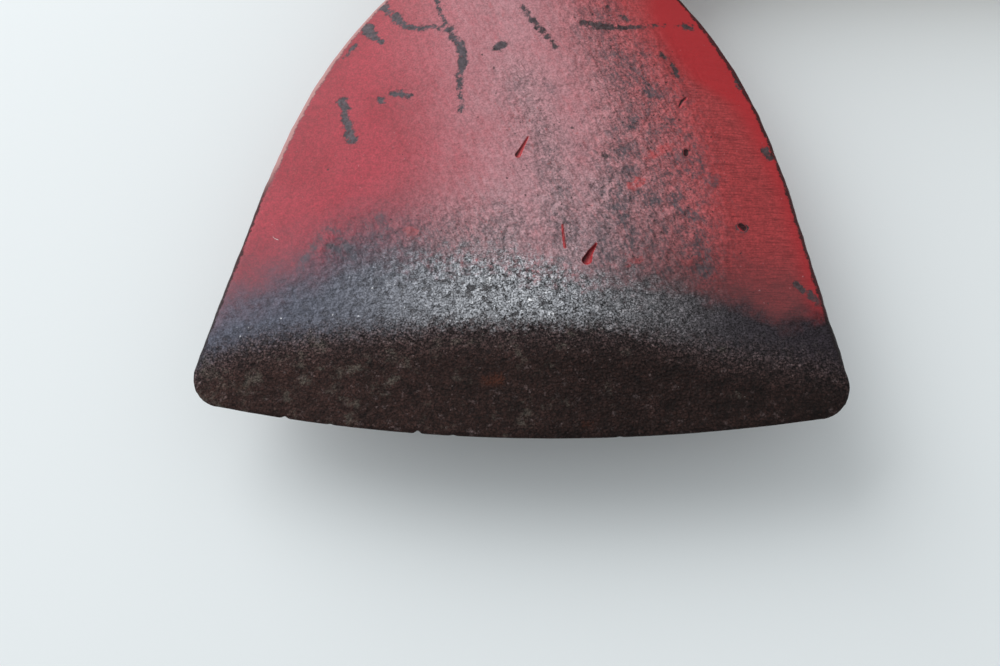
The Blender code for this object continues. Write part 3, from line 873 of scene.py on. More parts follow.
    def edge_gap(self, points: Array) -> Array:
        """Distance of places on the head from the edge between its faces and its sides."""
        form = self.form
        steps = np.linspace(form.bit_y + form.tip_along, form.pick_tip_y, 400)
        widths = np.array([form.half_width(float(step)) for step in steps])
        corners = form.height(np.ones(400), steps, widths) - form.side_round
        y = points[:, 1]
        taper = np.maximum(y - form.eye_half_width, 0.0) / form.pick_length
        side = np.interp(y, steps, widths) - np.abs(points[:, 0] - form.pick_droop * taper**2)
        down = np.interp(y, steps, corners) - np.abs(points[:, 2] - AXIS_HEIGHT)
        return np.hypot(np.maximum(side, 0.0), np.maximum(down, 0.0))

    def wear(self, mesh: Mesh) -> dict[str, Array]:
        """Values at the vertices that place the finish's wear, and its painted reflection, highlights and
        shade.

        Args:
            mesh: the dented head.

        Returns:
            Distances in millimetres and shares from 0 to 1, by name.
        """
        form, marks = self.form, self.marks
        points = places(mesh)
        above = points[:, 2] > AXIS_HEIGHT
        flat = points[:, :2]
        x = np.where(above, flat[:, 0], -flat[:, 0])
        y = flat[:, 1]
        blade_paint = (y - marks.level(x, PAINT_EDGE)) / MM
        pick_paint = (form.pick_tip_y - 0.024 - y) / MM
        masks = {
            "paint_edge": np.clip(np.minimum(blade_paint, pick_paint), -40.0, 40.0),
            "bevel_edge": np.clip((marks.level(x, BEVEL_EDGE) - y) / MM, -40.0, 40.0),
            "tone": np.clip(x / 45 / MM, -1.0, 1.0),
            # Where the bare steel is painted lighter, as a painted reflection.
            "painted_shine": np.exp(-(((x + 0.5 * MM) / 19 / MM) ** 2)),
            "upper": ease((y - form.bit_y - 38 * MM) / (8 * MM)),
        }
        chip = np.where(above, marks.nearest(flat, CHIPS), np.inf)
        fields = (
            (11, (-0.045, -0.085), (0.045, -0.030), 46, ~above),
            (12, (-0.020, -0.028), (0.020, 0.028), 26, above),
            (13, (-0.020, -0.028), (0.020, 0.028), 26, ~above),
            (14, (-0.008, 0.030), (0.010, 0.140), 30, above),
            (15, (-0.008, 0.030), (0.010, 0.140), 30, ~above),
        )
        for seed, low, high, count, side in fields:
            for path, start, end in scattered_strokes(seed, low, high, count):
                chip = np.where(side, np.minimum(chip, marks.distance(flat, path, start, end)), chip)
        masks[Wear.CHIP.value] = np.clip(chip, -3.0, 6.0)
        mirrored = np.column_stack([x, y])
        for wear, group, softness in (
            (Wear.RUB, RUBS, 1.4),
            (Wear.SCUFF_AND_SHEEN, SCUFFS_AND_SHEEN, 28.0),
            (Wear.GRIME, GRIMES, 12.0),
            (Wear.FRESH, FRESH_RED, 0.8),
            (Wear.CRUST, CRUSTS, 1.8),
            (Wear.STAIN, STAINS, 2.4),
            (Wear.PALE, PALE_SCRATCHES, 0.2),
        ):
            masks[wear.value] = ease(0.5 - marks.nearest(mirrored, group) / softness)
        facet, crease = marks.path(FACET_EDGE)[::-1], marks.path(MARGIN_CREASE)[::-1]
        inward = (x - np.interp(y, facet[:, 1], facet[:, 0])) / MM
        across = (x - np.interp(y, crease[:, 1], crease[:, 0])) / MM
        blade = ease((0.0 - y) / (20 * MM))
        masks["margin"] = ease((inward + 2.5) / 5.0) * blade
        masks["strip"] = ease((across + 1.0) / 4.5) * blade
        masks["ground"] = ease((inward + 1.5) / 4) * ease((-0.045 - y) / (10 * MM))
        # Nearness to the edges, where the paint is worn off and the rim is painted with shade and highlight.
        masks["edge"] = ease(1 - self.edge_gap(points) / (2.4 * MM))
        gouge = np.full(len(points), np.inf)
        shaded = np.zeros(len(points))
        # Share of painted shade in each gouge, falling off across it.
        for dent in GOUGES:
            path = marks.path(dent.pixels)
            gap = marks.distance(flat, path, dent.start, dent.end)
            run = path[-1] - path[0]
            aside = (flat - path[0]) @ np.array([run[1], -run[0]]) / np.linalg.norm(run) / MM
            shaded = np.where(gap < gouge, dent.painted_shade - aside / max(dent.start, dent.end), shaded)
            gouge = np.minimum(gouge, gap)
        masks["gouge"] = np.where(above, np.clip(gouge, -1.0, 3.0), 3.0)
        masks["shaded"] = np.clip(shaded, 0.0, 1.0)
        return masks


# Node trees


class Shade:
    """Adds nodes to a tree: sockets and plain values go in, sockets come out."""

    def __init__(self, tree: NodeTree) -> None:
        self.tree = tree

    def node(self, kind: str, **settings: Any) -> Node:
        """A new node with some of its settings changed."""
        made = self.tree.nodes.new(kind)
        for name, value in settings.items():
            setattr(made, name, value)
        return made

    def feed(self, socket: Socket, value: Any) -> None:
        """Join a socket to another one, or set its plain value."""
        if isinstance(value, Socket):
            self.tree.links.new(value, socket)
        elif socket.type == "RGBA":
            socket.default_value = (*value[:3], 1.0)
        else:
            socket.default_value = value

    def math(self, operation: str, *values: Any, clamp: bool = False) -> Socket:
        """Result of a sum of one to three values."""
        made = self.node("ShaderNodeMath", operation=operation, use_clamp=clamp)
        for socket, value in zip(made.inputs, values):
            self.feed(socket, value)
        return made.outputs[0]

    def add(self, *values: Any) -> Socket:
        """All values added up."""
        total = values[0]
        for value in values[1:]:
            total = self.math("ADD", total, value)
        return total

    def times(self, *values: Any) -> Socket:
        """All values multiplied."""
        total = values[0]
        for value in values[1:]:
            total = self.math("MULTIPLY", total, value)
        return total

    def swing(self, value: Socket, size: float) -> Socket:
        """A value from 0 to 1 turned into one from minus half a size to plus half of it."""
        return self.math("MULTIPLY_ADD", value, size, -size / 2)

    def scaled(self, value: Socket, factor: float, shift: Any) -> Socket:
        """A value times a factor, plus a shift."""
        return self.math("MULTIPLY_ADD", value, factor, shift)

    def inverse(self, value: Socket) -> Socket:
        """1 less a value."""
        return self.math("SUBTRACT", 1.0, value, clamp=True)

    def band(self, value: Any, low: Any, high: Any) -> Socket:
        """0 below low, 1 above high and smooth between them."""
        made = self.node("ShaderNodeMapRange", interpolation_type="SMOOTHSTEP")
        for socket, given in zip(made.inputs, (value, low, high, 0.0, 1.0)):
            self.feed(socket, given)
        return made.outputs[0]

    def mix(self, factor: Any, first: Any, second: Any) -> Socket:
        """Blend of two colours."""
        made = self.node("ShaderNodeMix", data_type="RGBA")
        self.feed(made.inputs[0], factor)
        self.feed(made.inputs[6], first)
        self.feed(made.inputs[7], second)
        return made.outputs[2]

    def blend(self, factor: Any, first: Any, second: Any) -> Socket:
        """Blend of two values."""
        made = self.node("ShaderNodeMix", data_type="FLOAT")
        self.feed(made.inputs[0], factor)
        self.feed(made.inputs[2], first)
        self.feed(made.inputs[3], second)
        return made.outputs[0]

    def tint(self, colour: Any, value: Any) -> Socket:
        """A colour made lighter or darker by a factor."""
        made = self.node("ShaderNodeVectorMath", operation="SCALE")
        self.feed(made.inputs[0], colour)
        self.feed(made.inputs["Scale"], value)
        return made.outputs[0]

    def stretch(self, vector: Socket, factors: tuple[float, float, float]) -> Socket:
        """Coordinates scaled by a factor along each axis."""
        made = self.node("ShaderNodeVectorMath", operation="MULTIPLY")
        self.feed(made.inputs[0], vector)
        self.feed(made.inputs[1], factors)
        return made.outputs[0]

    def turn(self, vector: Socket, angle: float) -> Socket:
        """Coordinates turned about the Z axis."""
        made = self.node("ShaderNodeVectorRotate", rotation_type="Z_AXIS")
        self.feed(made.inputs["Vector"], vector)
        self.feed(made.inputs["Angle"], angle)
        return made.outputs[0]

    def noise(self, vector: Socket, scale: Any, detail: float = 2.0, roughness: float = 0.5) -> Socket:
        """Cloudy noise from 0 to 1."""
        made = self.node("ShaderNodeTexNoise")
        values = {"Vector": vector, "Scale": scale, "Detail": detail, "Roughness": roughness}
        for name, value in values.items():
            self.feed(made.inputs[name], value)
        return made.outputs[0]

    def cells(self, vector: Socket, scale: Any) -> tuple[Socket, Socket]:
        """Distance to the nearest of scattered points, and a random colour for each point."""
        made = self.node("ShaderNodeTexVoronoi")
        self.feed(made.inputs["Vector"], vector)
        self.feed(made.inputs["Scale"], scale)
        return made.outputs["Distance"], made.outputs["Color"]

    def mask(self, name: str) -> Socket:
        """Value kept at the mesh's vertices."""
        return self.node("ShaderNodeAttribute", attribute_name=name).outputs["Fac"]

    def use(self, group: NodeTree, **values: Any) -> dict[str, Socket]:
        """Place a node group and feed its inputs by name.

        Args:
            group: the shader node group.
            values: a socket or a plain value for each input, with _ for a space.

        Returns:
            The group's outputs by name.
        """
        made = self.node("ShaderNodeGroup", node_tree=group)
        for name, value in values.items():
            self.feed(made.inputs[name.replace("_", " ")], value)
        return {output.name: output for output in made.outputs}


class SocketKind(Enum):
    """Kinds of sockets on node groups."""

    VALUE = "NodeSocketFloat"
    COLOUR = "NodeSocketColor"
    VECTOR = "NodeSocketVector"


class Effects:
    """Shader node groups that several finishes share."""

    def __init__(self) -> None:
        self.pits = self.make_pits()
        self.edge_wear = self.make_edge_wear()
        self.speckle = self.make_speckle()
        self.wood_grain = self.make_wood_grain()
        self.black_steel = self.make_black_steel()

    @staticmethod
    def start(
        name: str, inputs: dict[str, SocketKind], outputs: dict[str, SocketKind]
    ) -> tuple[Shade, Any, Any]:
        """A new group with its sockets.

        Args:
            name: name of the group.
            inputs: kind of each input by name.
            outputs: kind of each output by name.

        Returns:
            The tree's builder, its inputs and its outputs.
        """
        tree = bpy.data.node_groups.new(name, "ShaderNodeTree")
        for in_out, sockets in (("INPUT", inputs), ("OUTPUT", outputs)):
            for title, kind in sockets.items():
                tree.interface.new_socket(name=title, in_out=in_out, socket_type=kind.value)
        shade = Shade(tree)
        return shade, shade.node("NodeGroupInput").outputs, shade.node("NodeGroupOutput").inputs

    def make_pits(self) -> NodeTree:
        """Scattered pits or flecks of uneven size, as a mask."""
        value, vector = SocketKind.VALUE, SocketKind.VECTOR
        shade, given, out = self.start(
            "pits",
            {"Vector": vector, "Scale": value, "Density": value, "Size": value},
            {"Mask": value},
        )
        warp = shade.node("ShaderNodeTexNoise")
        shade.feed(warp.inputs["Vector"], given["Vector"])
        shade.feed(warp.inputs["Scale"], shade.times(given["Scale"], 2.2))
        shifted = shade.node("ShaderNodeVectorMath", operation="MULTIPLY_ADD")
        shade.feed(shifted.inputs[0], warp.outputs["Color"])
        shade.feed(shifted.inputs[1], (0.55, 0.55, 0.55))
        shade.feed(shifted.inputs[2], given["Vector"])
        distance, colour = shade.cells(shifted.outputs[0], given["Scale"])
        parts = shade.node("ShaderNodeSeparateColor")
        shade.feed(parts.inputs[0], colour)
        kept = shade.math("GREATER_THAN", given["Density"], parts.outputs[0])
        size = shade.times(given["Size"], shade.scaled(parts.outputs[1], 0.9, 0.35))
        inside = shade.band(distance, size, shade.times(size, 0.45))
        shade.feed(out["Mask"], shade.times(inside, kept))
        return shade.tree

    def make_edge_wear(self) -> NodeTree:
        """Wear along edges, ragged by noise, as a mask."""
        value, vector = SocketKind.VALUE, SocketKind.VECTOR
        shade, given, out = self.start(
            "edge_wear",
            {"Vector": vector, "Edge": value, "Scale": value, "Amount": value},
            {"Mask": value},
        )
        ragged = shade.noise(given["Vector"], given["Scale"], 4.0, 0.65)
        level = shade.add(given["Edge"], shade.swing(ragged, 1.6), given["Amount"])
        shade.feed(out["Mask"], shade.band(level, 0.85, 1.15))
        return shade.tree

    def make_speckle(self) -> NodeTree:
        """Grain of metal in three tones, with the height of its grains."""
        value, colour = SocketKind.VALUE, SocketKind.COLOUR
        shade, given, out = self.start(
            "speckle",
            {
                "Vector": SocketKind.VECTOR, "Scale": value, "Contrast": value,
                "Dark": colour, "Middle": colour, "Light": colour,
            },
            {"Color": colour, "Height": value},
        )
        grain = shade.noise(given["Vector"], given["Scale"], 5.0, 0.76)
        spread = shade.math("MULTIPLY_ADD", shade.swing(grain, 1.0), given["Contrast"], 0.5, clamp=True)
        dark = shade.mix(shade.band(spread, 0.08, 0.46), given["Dark"], given["Middle"])
        shade.feed(out["Color"], shade.mix(shade.band(spread, 0.6, 0.98), dark, given["Light"]))
        shade.feed(out["Height"], spread)
        return shade.tree

    def make_wood_grain(self) -> NodeTree:
        """Straight-grained wood along X, in millimetres: growth rings, fibres and open pores."""
        value, colour = SocketKind.VALUE, SocketKind.COLOUR
        shade, given, out = self.start(
            "wood_grain",
            {"Vector": SocketKind.VECTOR, "Ring Width": value, "Light": colour, "Dark": colour},
            {"Color": colour, "Height": value, "Pores": value},
        )
        place = given["Vector"]
        parts = shade.node("ShaderNodeSeparateXYZ")
        shade.feed(parts.inputs[0], place)
        wander = shade.noise(shade.stretch(place, (0.006, 0.05, 0.05)), 1.0, 2.0)
        across = shade.math("ADD", parts.outputs[1], 31.0)
        upward = shade.math("ADD", parts.outputs[2], 9.0)
        reach = shade.math("SQRT", shade.add(shade.times(across, across), shade.times(upward, upward)))
        ring = shade.add(shade.math("DIVIDE", reach, given["Ring Width"]), shade.swing(wander, 4.0))
        phase = shade.math("FRACT", ring)
        late = shade.times(shade.band(phase, 0.15, 0.8), shade.band(phase, 1.0, 0.93))
        fibre = shade.noise(shade.stretch(place, (0.05, 2.6, 2.6)), 1.0, 3.0, 0.6)
        pore = shade.noise(shade.stretch(place, (0.16, 4.2, 4.2)), 1.0, 1.0)
        pores = shade.times(shade.band(pore, 0.6, 0.7), shade.scaled(late, 0.7, 0.3))
        tone = shade.add(shade.times(late, 0.55), shade.swing(fibre, 0.9), 0.12)
        shade.feed(out["Color"], shade.mix(shade.band(tone, 0.0, 0.85), given["Light"], given["Dark"]))
        shade.feed(out["Height"], shade.add(fibre, shade.times(pores, -0.9)))
        shade.feed(out["Pores"], pores)
        return shade.tree

    def make_black_steel(self) -> NodeTree:
        """Scaled forged steel with rubbed edges and freckles of rust."""
        value, colour = SocketKind.VALUE, SocketKind.COLOUR
        shade, given, out = self.start(
            "black_steel",
            {
                "Vector": SocketKind.VECTOR, "Edge": value, "Rust": value,
                "Scale Colour": colour, "Bare Colour": colour, "Rust Colour": colour,
            },
            {"Color": colour, "Roughness": value, "Metallic": value, "Height": value},
        )
        place = given["Vector"]
        patches = shade.noise(place, 0.22, 4.0, 0.6)
        grain = shade.noise(place, 2.4, 3.0, 0.65)
        scale = shade.tint(given["Scale Colour"], shade.scaled(grain, 1.1, 0.45))
        worn = shade.use(self.edge_wear, Vector=place, Edge=given["Edge"], Scale=0.9, Amount=-0.12)["Mask"]
        rubbed = shade.math("MAXIMUM", worn, shade.times(shade.band(patches, 0.56, 0.72), 0.5))
        bare = shade.tint(given["Bare Colour"], shade.scaled(grain, 0.8, 0.6))
        steel = shade.mix(rubbed, scale, bare)
        freckles = shade.use(self.pits, Vector=place, Scale=0.55, Density=given["Rust"], Size=0.42)["Mask"]
        stain = shade.times(shade.band(shade.noise(place, 0.13, 3.0), 0.52, 0.7), given["Rust"])
        rusted = shade.math("MAXIMUM", freckles, stain)
        shade.feed(out["Color"], shade.mix(rusted, steel, given["Rust Colour"]))
        shade.feed(out["Roughness"], shade.add(0.62, shade.times(rubbed, -0.24), shade.times(rusted, 0.15)))
        shade.feed(out["Metallic"], shade.times(shade.inverse(rusted), shade.blend(rubbed, 0.55, 0.95)))
        shade.feed(out["Height"], shade.add(grain, shade.times(patches, 1.5), shade.times(freckles, 0.6)))
        return shade.tree


# Finishes


def begin(name: str) -> tuple[Material, Shade, Node, Socket]:
    """Start a material.

    Args:
        name: name of the material.

    Returns:
        The material, its tree's builder, its Principled shader and its coordinates in millimetres.
    """
    material = bpy.data.materials.new(name)
    material.use_nodes = True
    shade = Shade(material.node_tree)
    shader = material.node_tree.nodes["Principled BSDF"]
    place = shade.node("ShaderNodeTexCoord").outputs["Object"]
    return material, shade, shader, shade.stretch(place, (1 / MM, 1 / MM, 1 / MM))


def bump(shade: Shade, shader: Node, height: Socket) -> None:
    """Feed the shader's normal from a height in millimetres."""
    made = shade.node("ShaderNodeBump")
    shade.feed(made.inputs["Distance"], MM)
    shade.feed(made.inputs["Height"], height)
    shade.feed(shader.inputs["Normal"], made.outputs[0])


def set_shader(shade: Shade, shader: Node, values: dict[str, Any]) -> None:
    """Feed the shader's inputs by name."""
    for name, value in values.items():
        shade.feed(shader.inputs[name], value)


@dataclass(frozen=True)
class WornPaint:
    """Red paint worn through to steel, with a browned and pitted bevel, and with painted sheen, reflection,
    highlights and shade.
    """

    name: str = "worn_red_paint"
    deep_red: Colour = (0.315, 0.016, 0.032)
    light_red: Colour = (0.365, 0.026, 0.046)
    margin_red: Colour = (0.365, 0.044, 0.048)
    ground_red: Colour = (0.345, 0.038, 0.041)
    score_red: Colour = (0.165, 0.014, 0.017)
    # Lighter, fuller red of the edge strip: painted light.
    strip_lit_red: Colour = (0.40, 0.016, 0.022)
    fresh_red: Colour = (0.50, 0.050, 0.060)
    scrape_red: Colour = (0.46, 0.070, 0.075)
    # Hazing colours of scuffed paint, lightened by a painted sheen.
    pink_haze_and_sheen: Colour = (0.440, 0.220, 0.246)
    grey_haze_and_sheen: Colour = (0.375, 0.238, 0.258)
    smudge: Colour = (0.056, 0.056, 0.068)
    blue_smoke: Colour = (0.062, 0.064, 0.088)
    brown_smoke: Colour = (0.034, 0.024, 0.027)
    chip_blue: Colour = (0.094, 0.078, 0.090)
    chip_black: Colour = (0.066, 0.046, 0.050)
    fleck: Colour = (0.020, 0.014, 0.016)
    hairline: Colour = (0.070, 0.024, 0.028)
    pale_fleck: Colour = (0.50, 0.26, 0.28)
    # Painted highlight on the upper left edges.
    edge_highlight: Colour = (0.50, 0.28, 0.27)
    pale_scratch: Colour = (0.62, 0.56, 0.56)
    # Worn edges darkened with painted shade.
    edge_wear_and_shade: Colour = (0.020, 0.014, 0.015)
    # Painted shade in the gouges and dark pits.
    gouge_shade: Colour = (0.030, 0.006, 0.008)
    steel_dark: Colour = (0.045, 0.042, 0.044)
    steel_middle: Colour = (0.275, 0.285, 0.305)
    # Light steel: grains of the painted reflection, and the painted glints.
    steel_highlight: Colour = (0.60, 0.61, 0.63)
    blue_steel: Colour = (0.072, 0.077, 0.101)
    brown_steel: Colour = (0.072, 0.062, 0.066)
    smoked_steel: Colour = (0.026, 0.021, 0.026)
    rust_dark: Colour = (0.0070, 0.0034, 0.0032)
    rust_middle: Colour = (0.0230, 0.0108, 0.0090)
    rust_light: Colour = (0.078, 0.056, 0.055)
    # Grey mixed in near the bevel's top line, as a painted highlight.
    rust_grey_highlight: Colour = (0.036, 0.030, 0.033)
    rust_red: Colour = (0.070, 0.019, 0.009)
    lichen: Colour = (0.115, 0.102, 0.084)
    # Colour of the painted glints on the bevel.
    glint: Colour = (0.340, 0.315, 0.300)
    film: float = 0.06
    streak_angle: float = math.radians(-28)
    brush_angle: float = math.radians(-20)
    hairline_angles: tuple[float, ...] = (math.radians(-32), math.radians(24), math.radians(72))

    def make(self, effects: Effects) -> Material:
        """The material, which reads the head's wear and its painted light and shade from its mesh."""
        material, shade, shader, place = begin(self.name)
        fine = shade.noise(place, 2.3, 4.0, 0.66)
        clump = shade.noise(place, 0.85, 4.0, 0.62)
        middle = shade.noise(place, 0.3, 3.0)
        tone = shade.mask("tone")
        outward = shade.band(shade.math("ABSOLUTE", tone), 0.15, 0.55)
        right = shade.band(tone, -0.1, 0.5)

        paint_edge = shade.mask("paint_edge")
        faded = shade.add(
            paint_edge, shade.swing(middle, 6.0), shade.swing(clump, 3.0), shade.swing(fine, 1.5)
        )
        faded = shade.band(faded, shade.blend(right, -3.0, -1.6), shade.blend(right, 7.5, 3.4))
        ragged = shade.add(
            paint_edge, shade.swing(middle, 5.0), shade.swing(clump, 14.0), shade.swing(fine, 7.0)
        )
        painted = shade.blend(outward, shade.band(ragged, -3.4, 4.2), faded)
        grain = shade.band(shade.noise(place, 3.9, 1.0, 0.6), 0.30, 0.70)
        line = shade.add(shade.mask("bevel_edge"), shade.swing(fine, 4.5), shade.swing(clump, 5.0))
        browned = shade.band(line, shade.blend(outward, -1.6, -2.6), shade.blend(outward, 2.0, 3.2))
        crumb = shade.noise(place, 1.05, 3.0, 0.6)
        gap = shade.add(
            shade.mask("chip"), shade.swing(crumb, 2.0), shade.swing(clump, 1.5), shade.swing(middle, 1.0)
        )
        chipped = shade.times(shade.band(gap, 0.30, -0.22), shade.band(fine, 0.2, 0.42))

        peel = shade.swing(shade.noise(place, 1.3, 1.0, 0.5), 1.0)
        coloured, scored = self.paint(shade, place, fine, clump, peel)
        smoky = shade.add(paint_edge, shade.swing(clump, 4.0), shade.swing(middle, 6.0))
        smoky = shade.times(shade.band(smoky, 16.0, -2.0), outward, 0.78)
        coloured = shade.mix(smoky, coloured, shade.mix(right, self.blue_smoke, self.brown_smoke))
        cell, _ = shade.cells(shade.stretch(place, (1.8, 2.2, 1.8)), 1.0)
        hide = shade.band(shade.add(cell, shade.swing(fine, 0.9), shade.swing(clump, 0.9)), 0.85, 0.05)
        steel, steel_height = self.steel(shade, effects, place, hide, peel)
        rust, rust_height = self.rust(shade, effects, place, fine, hide, peel)
        near_line = shade.band(shade.mask("bevel_edge"), 8.0, 0.0)
        # Painted highlights on the bare metal's fine grain, strongest in the painted reflection, on the right
        # and near the bevel line.
        glint_strength = shade.add(shade.blend(shade.mask("painted_shine"), 0.45, 1.5), shade.times(right, 0.55))
        glint_strength = shade.blend(browned, glint_strength, shade.scaled(near_line, 0.8, 1.05))
        grain_glints = shade.times(shade.swing(grain, 1.0), glint_strength)
        bare = shade.tint(shade.mix(browned, steel, rust), shade.add(1.0, grain_glints))

        grime, scuff = shade.mask("grime"), shade.mask("scuff")
        worn = shade.math("MAXIMUM", grime, shade.times(scuff, 0.45))
        density = shade.scaled(worn, 0.22, 0.006)
        large = shade.use(effects.pits, Vector=place, Scale=1.0, Density=density, Size=0.26)["Mask"]
        limit = shade.scaled(worn, -0.095, 0.745)
        small = shade.band(shade.noise(place, 2.1, 2.0, 0.6), limit, shade.add(limit, 0.04))
        flecks = shade.math("MAXIMUM", large, small)
        pale = shade.use(effects.pits, Vector=place, Scale=1.5, Density=0.10, Size=0.18)["Mask"]
        # Rim along the edges: paint worn off, coloured with painted shade, and with a painted highlight on
        # the upper left.
        edge = shade.add(shade.mask("edge"), shade.swing(clump, 0.8), shade.swing(fine, 0.45))
        rim_highlight = shade.times(shade.band(tone, -0.1, -0.3), shade.mask("upper"))
        rim = shade.band(shade.add(edge, shade.times(rim_highlight, 0.2)), 0.66, 0.84)
        seam = shade.times(shade.band(edge, 0.36, 0.5), shade.inverse(rim), rim_highlight, 0.6)
        film = shade.times(painted, shade.inverse(shade.math("MAXIMUM", chipped, rim)))
        chip_tone = shade.mix(shade.band(tone, -0.3, 0.3), self.chip_blue, self.chip_black)
        chip_tone = shade.tint(chip_tone, shade.add(shade.swing(crumb, 1.8), shade.swing(fine, 1.8), 1.0))
        # Painted light: the strip beyond the crease gets a lighter, fuller red for how it faces.
        strip = shade.times(shade.mask("strip"), 0.92)
        colour = shade.mix(painted, bare, shade.mix(strip, coloured, self.strip_lit_red))
        colour = shade.mix(shade.times(pale, painted, 0.4), colour, self.pale_fleck)
        colour = shade.mix(shade.times(chipped, painted), colour, chip_tone)
        colour = shade.mix(shade.times(flecks, painted, 0.75), colour, self.fleck)
        colour = shade.mix(seam, colour, self.chip_blue)
        rim_shade_and_highlight = shade.mix(rim_highlight, self.edge_wear_and_shade, self.edge_highlight)
        colour = shade.mix(shade.times(rim, shade.inverse(browned), 0.9), colour, rim_shade_and_highlight)
        gouge = shade.add(shade.mask("gouge"), shade.swing(fine, 0.2))
        colour = shade.mix(shade.band(gouge, 0.16, 0.0), colour, self.fresh_red)
        # Painted shade on one side of each gouge, and over the dark pits.
        shaded = shade.times(shade.band(gouge, 0.12, 0.0), shade.mask("shaded"))
        colour = shade.mix(shaded, colour, self.gouge_shade)
        colour = shade.mix(shade.band(shade.mask("pale"), 0.3, 0.6), colour, self.pale_scratch)

        metal = shade.times(shade.inverse(painted), shade.inverse(browned), 0.5)
        rough_bare = shade.blend(browned, 0.46, 0.70)
        roughness = shade.add(shade.blend(film, rough_bare, 0.46), shade.swing(fine, 0.18))
        slant = shade.turn(place, self.streak_angle)
        ridges = shade.swing(shade.noise(shade.stretch(slant, (0.95, 0.5, 0.8)), 1.0, 1.5, 0.5), 1.0)
        height = shade.add(
            shade.times(film, self.film),
            shade.times(peel, shade.add(shade.times(grime, 0.25), shade.times(scuff, 0.09), 0.02)),
            shade.times(ridges, shade.add(shade.times(grime, 1.1), shade.times(scuff, 0.25), 0.04)),
            shade.times(shade.inverse(painted), steel_height, 0.09),
            shade.times(browned, rust_height, shade.scaled(near_line, 0.12, 0.06)),
            shade.times(flecks, -0.04),
            shade.times(scored, -0.03),
        )
        bump(shade, shader, height)
        set_shader(shade, shader, {
            "Base Color": colour,
            "Metallic": metal,
            "Roughness": roughness,
            "Specular IOR Level": 0.15,
            "Coat Weight": shade.times(film, 0.3),
            "Coat Roughness": 0.30,
        })
        return material

    def paint(
        self, shade: Shade, place: Socket, fine: Socket, clump: Socket, peel: Socket
    ) -> tuple[Socket, Socket]:
        """Colour of the paint with its scuffed hazing, painted sheen and dirt, and the mask of its fine
        scores.

        Args:
            shade: builder of the material's tree.
            place: coordinates in millimetres.
            fine: fine noise.
            clump: coarser noise.
            peel: unevenness of the coat, from -0.5 to 0.5.

        Returns:
            The colour and the mask.
        """
        grime, rub, margin = shade.mask("grime"), shade.mask("rub"), shade.mask("margin")
        patchy = shade.noise(place, 0.16, 4.0, 0.6)
        slant = shade.turn(place, self.streak_angle)
        smear = shade.noise(shade.stretch(slant, (2.2, 0.7, 1.4)), 1.0, 3.0, 0.6)
        drawn = shade.noise(shade.stretch(slant, (1.4, 0.16, 0.8)), 1.0, 3.0, 0.6)
        broad = shade.noise(place, 0.085, 2.0)
        red = shade.mix(shade.band(broad, 0.36, 0.62), self.deep_red, self.light_red)
        ground = shade.mix(shade.mask("ground"), self.margin_red, self.ground_red)
        red = shade.mix(shade.band(shade.mask("tone"), -0.25, 0.4), red, ground)
        red = shade.tint(red, shade.scaled(fine, 0.6, 0.7))
        # Scuffed hazing together with a painted sheen down the cheek's middle, weaker on the ground margin.
        sheen_and_haze = shade.mix(shade.add(grime, shade.swing(clump, 0.9)), self.pink_haze_and_sheen, self.grey_haze_and_sheen)
        hazy = shade.add(0.98, shade.swing(patchy, 0.7), shade.swing(smear, 0.6), shade.swing(drawn, 0.6))
        sheen_and_haze_share = shade.math("MULTIPLY", shade.mask("scuff"), hazy, clamp=True)
        sheen_and_haze_share = shade.times(
            sheen_and_haze_share,
            shade.scaled(margin, -0.7, 1.0),
            shade.scaled(shade.mask("upper"), -0.15, 1.0),
        )
        # The paint's grain, with the low parts of the coat's unevenness painted darker as painted shade.
        grain_and_hollow_shade = shade.band(shade.noise(place, 3.2, 1.0, 0.6), 0.30, 0.70)
        grain_and_hollow_shade = shade.add(shade.swing(grain_and_hollow_shade, 0.45), shade.times(peel, 0.7))
        grain_and_hollow_shade = shade.add(1.0, shade.times(grain_and_hollow_shade, shade.scaled(grime, 0.8, 0.75)))
        grain_and_hollow_shade = shade.times(grain_and_hollow_shade, shade.scaled(shade.mask("upper"), 0.05, 1.0))
        coloured = shade.tint(shade.mix(sheen_and_haze_share, red, sheen_and_haze), grain_and_hollow_shade)
        cloud = shade.noise(place, 0.36, 4.0, 0.66)
        dirty = shade.add(
            shade.times(grime, 0.3), shade.swing(smear, 2.2), shade.swing(cloud, 2.6), shade.swing(fine, 2.2)
        )
        dirty = shade.times(shade.band(dirty, -0.2, 1.05), grime, 0.8)
        coloured = shade.mix(dirty, coloured, self.smudge)
        rubbed = shade.add(
            shade.times(rub, 0.8), shade.swing(smear, 2.2), shade.swing(cloud, 2.4), shade.swing(fine, 1.4)
        )
        rubbed = shade.times(shade.band(rubbed, 0.0, 1.3), shade.band(rub, 0.0, 0.9), 0.75)
        coloured = shade.mix(rubbed, coloured, self.smudge)
        worn = shade.times(shade.add(shade.mask("scuff"), grime, 0.05), shade.band(patchy, 0.3, 0.6))
        scratched = shade.times(self.hairlines(shade, place), worn)
        coloured = shade.mix(shade.math("MULTIPLY", scratched, 0.38, clamp=True), coloured, self.hairline)
        streak = shade.noise(shade.stretch(place, (0.32, 6.5, 1.0)), 1.0, 3.0, 0.6)
        streaked = shade.band(streak, 0.40, 0.70)
        scored = shade.times(shade.mask("ground"), streaked, shade.band(clump, 0.2, 0.6))
        coloured = shade.mix(shade.times(scored, 0.95), coloured, self.score_red)
        fresh = shade.add(shade.mask("fresh"), shade.swing(fine, 2.4), shade.swing(clump, 2.6))
        # Fresh red scrapes, their low parts painted darker as painted shade.
        scrape = shade.tint(self.scrape_red, shade.add(1.0, shade.times(peel, 0.8)))
        return shade.mix(shade.times(shade.band(fresh, 0.3, 1.2), 0.8), coloured, scrape), scored

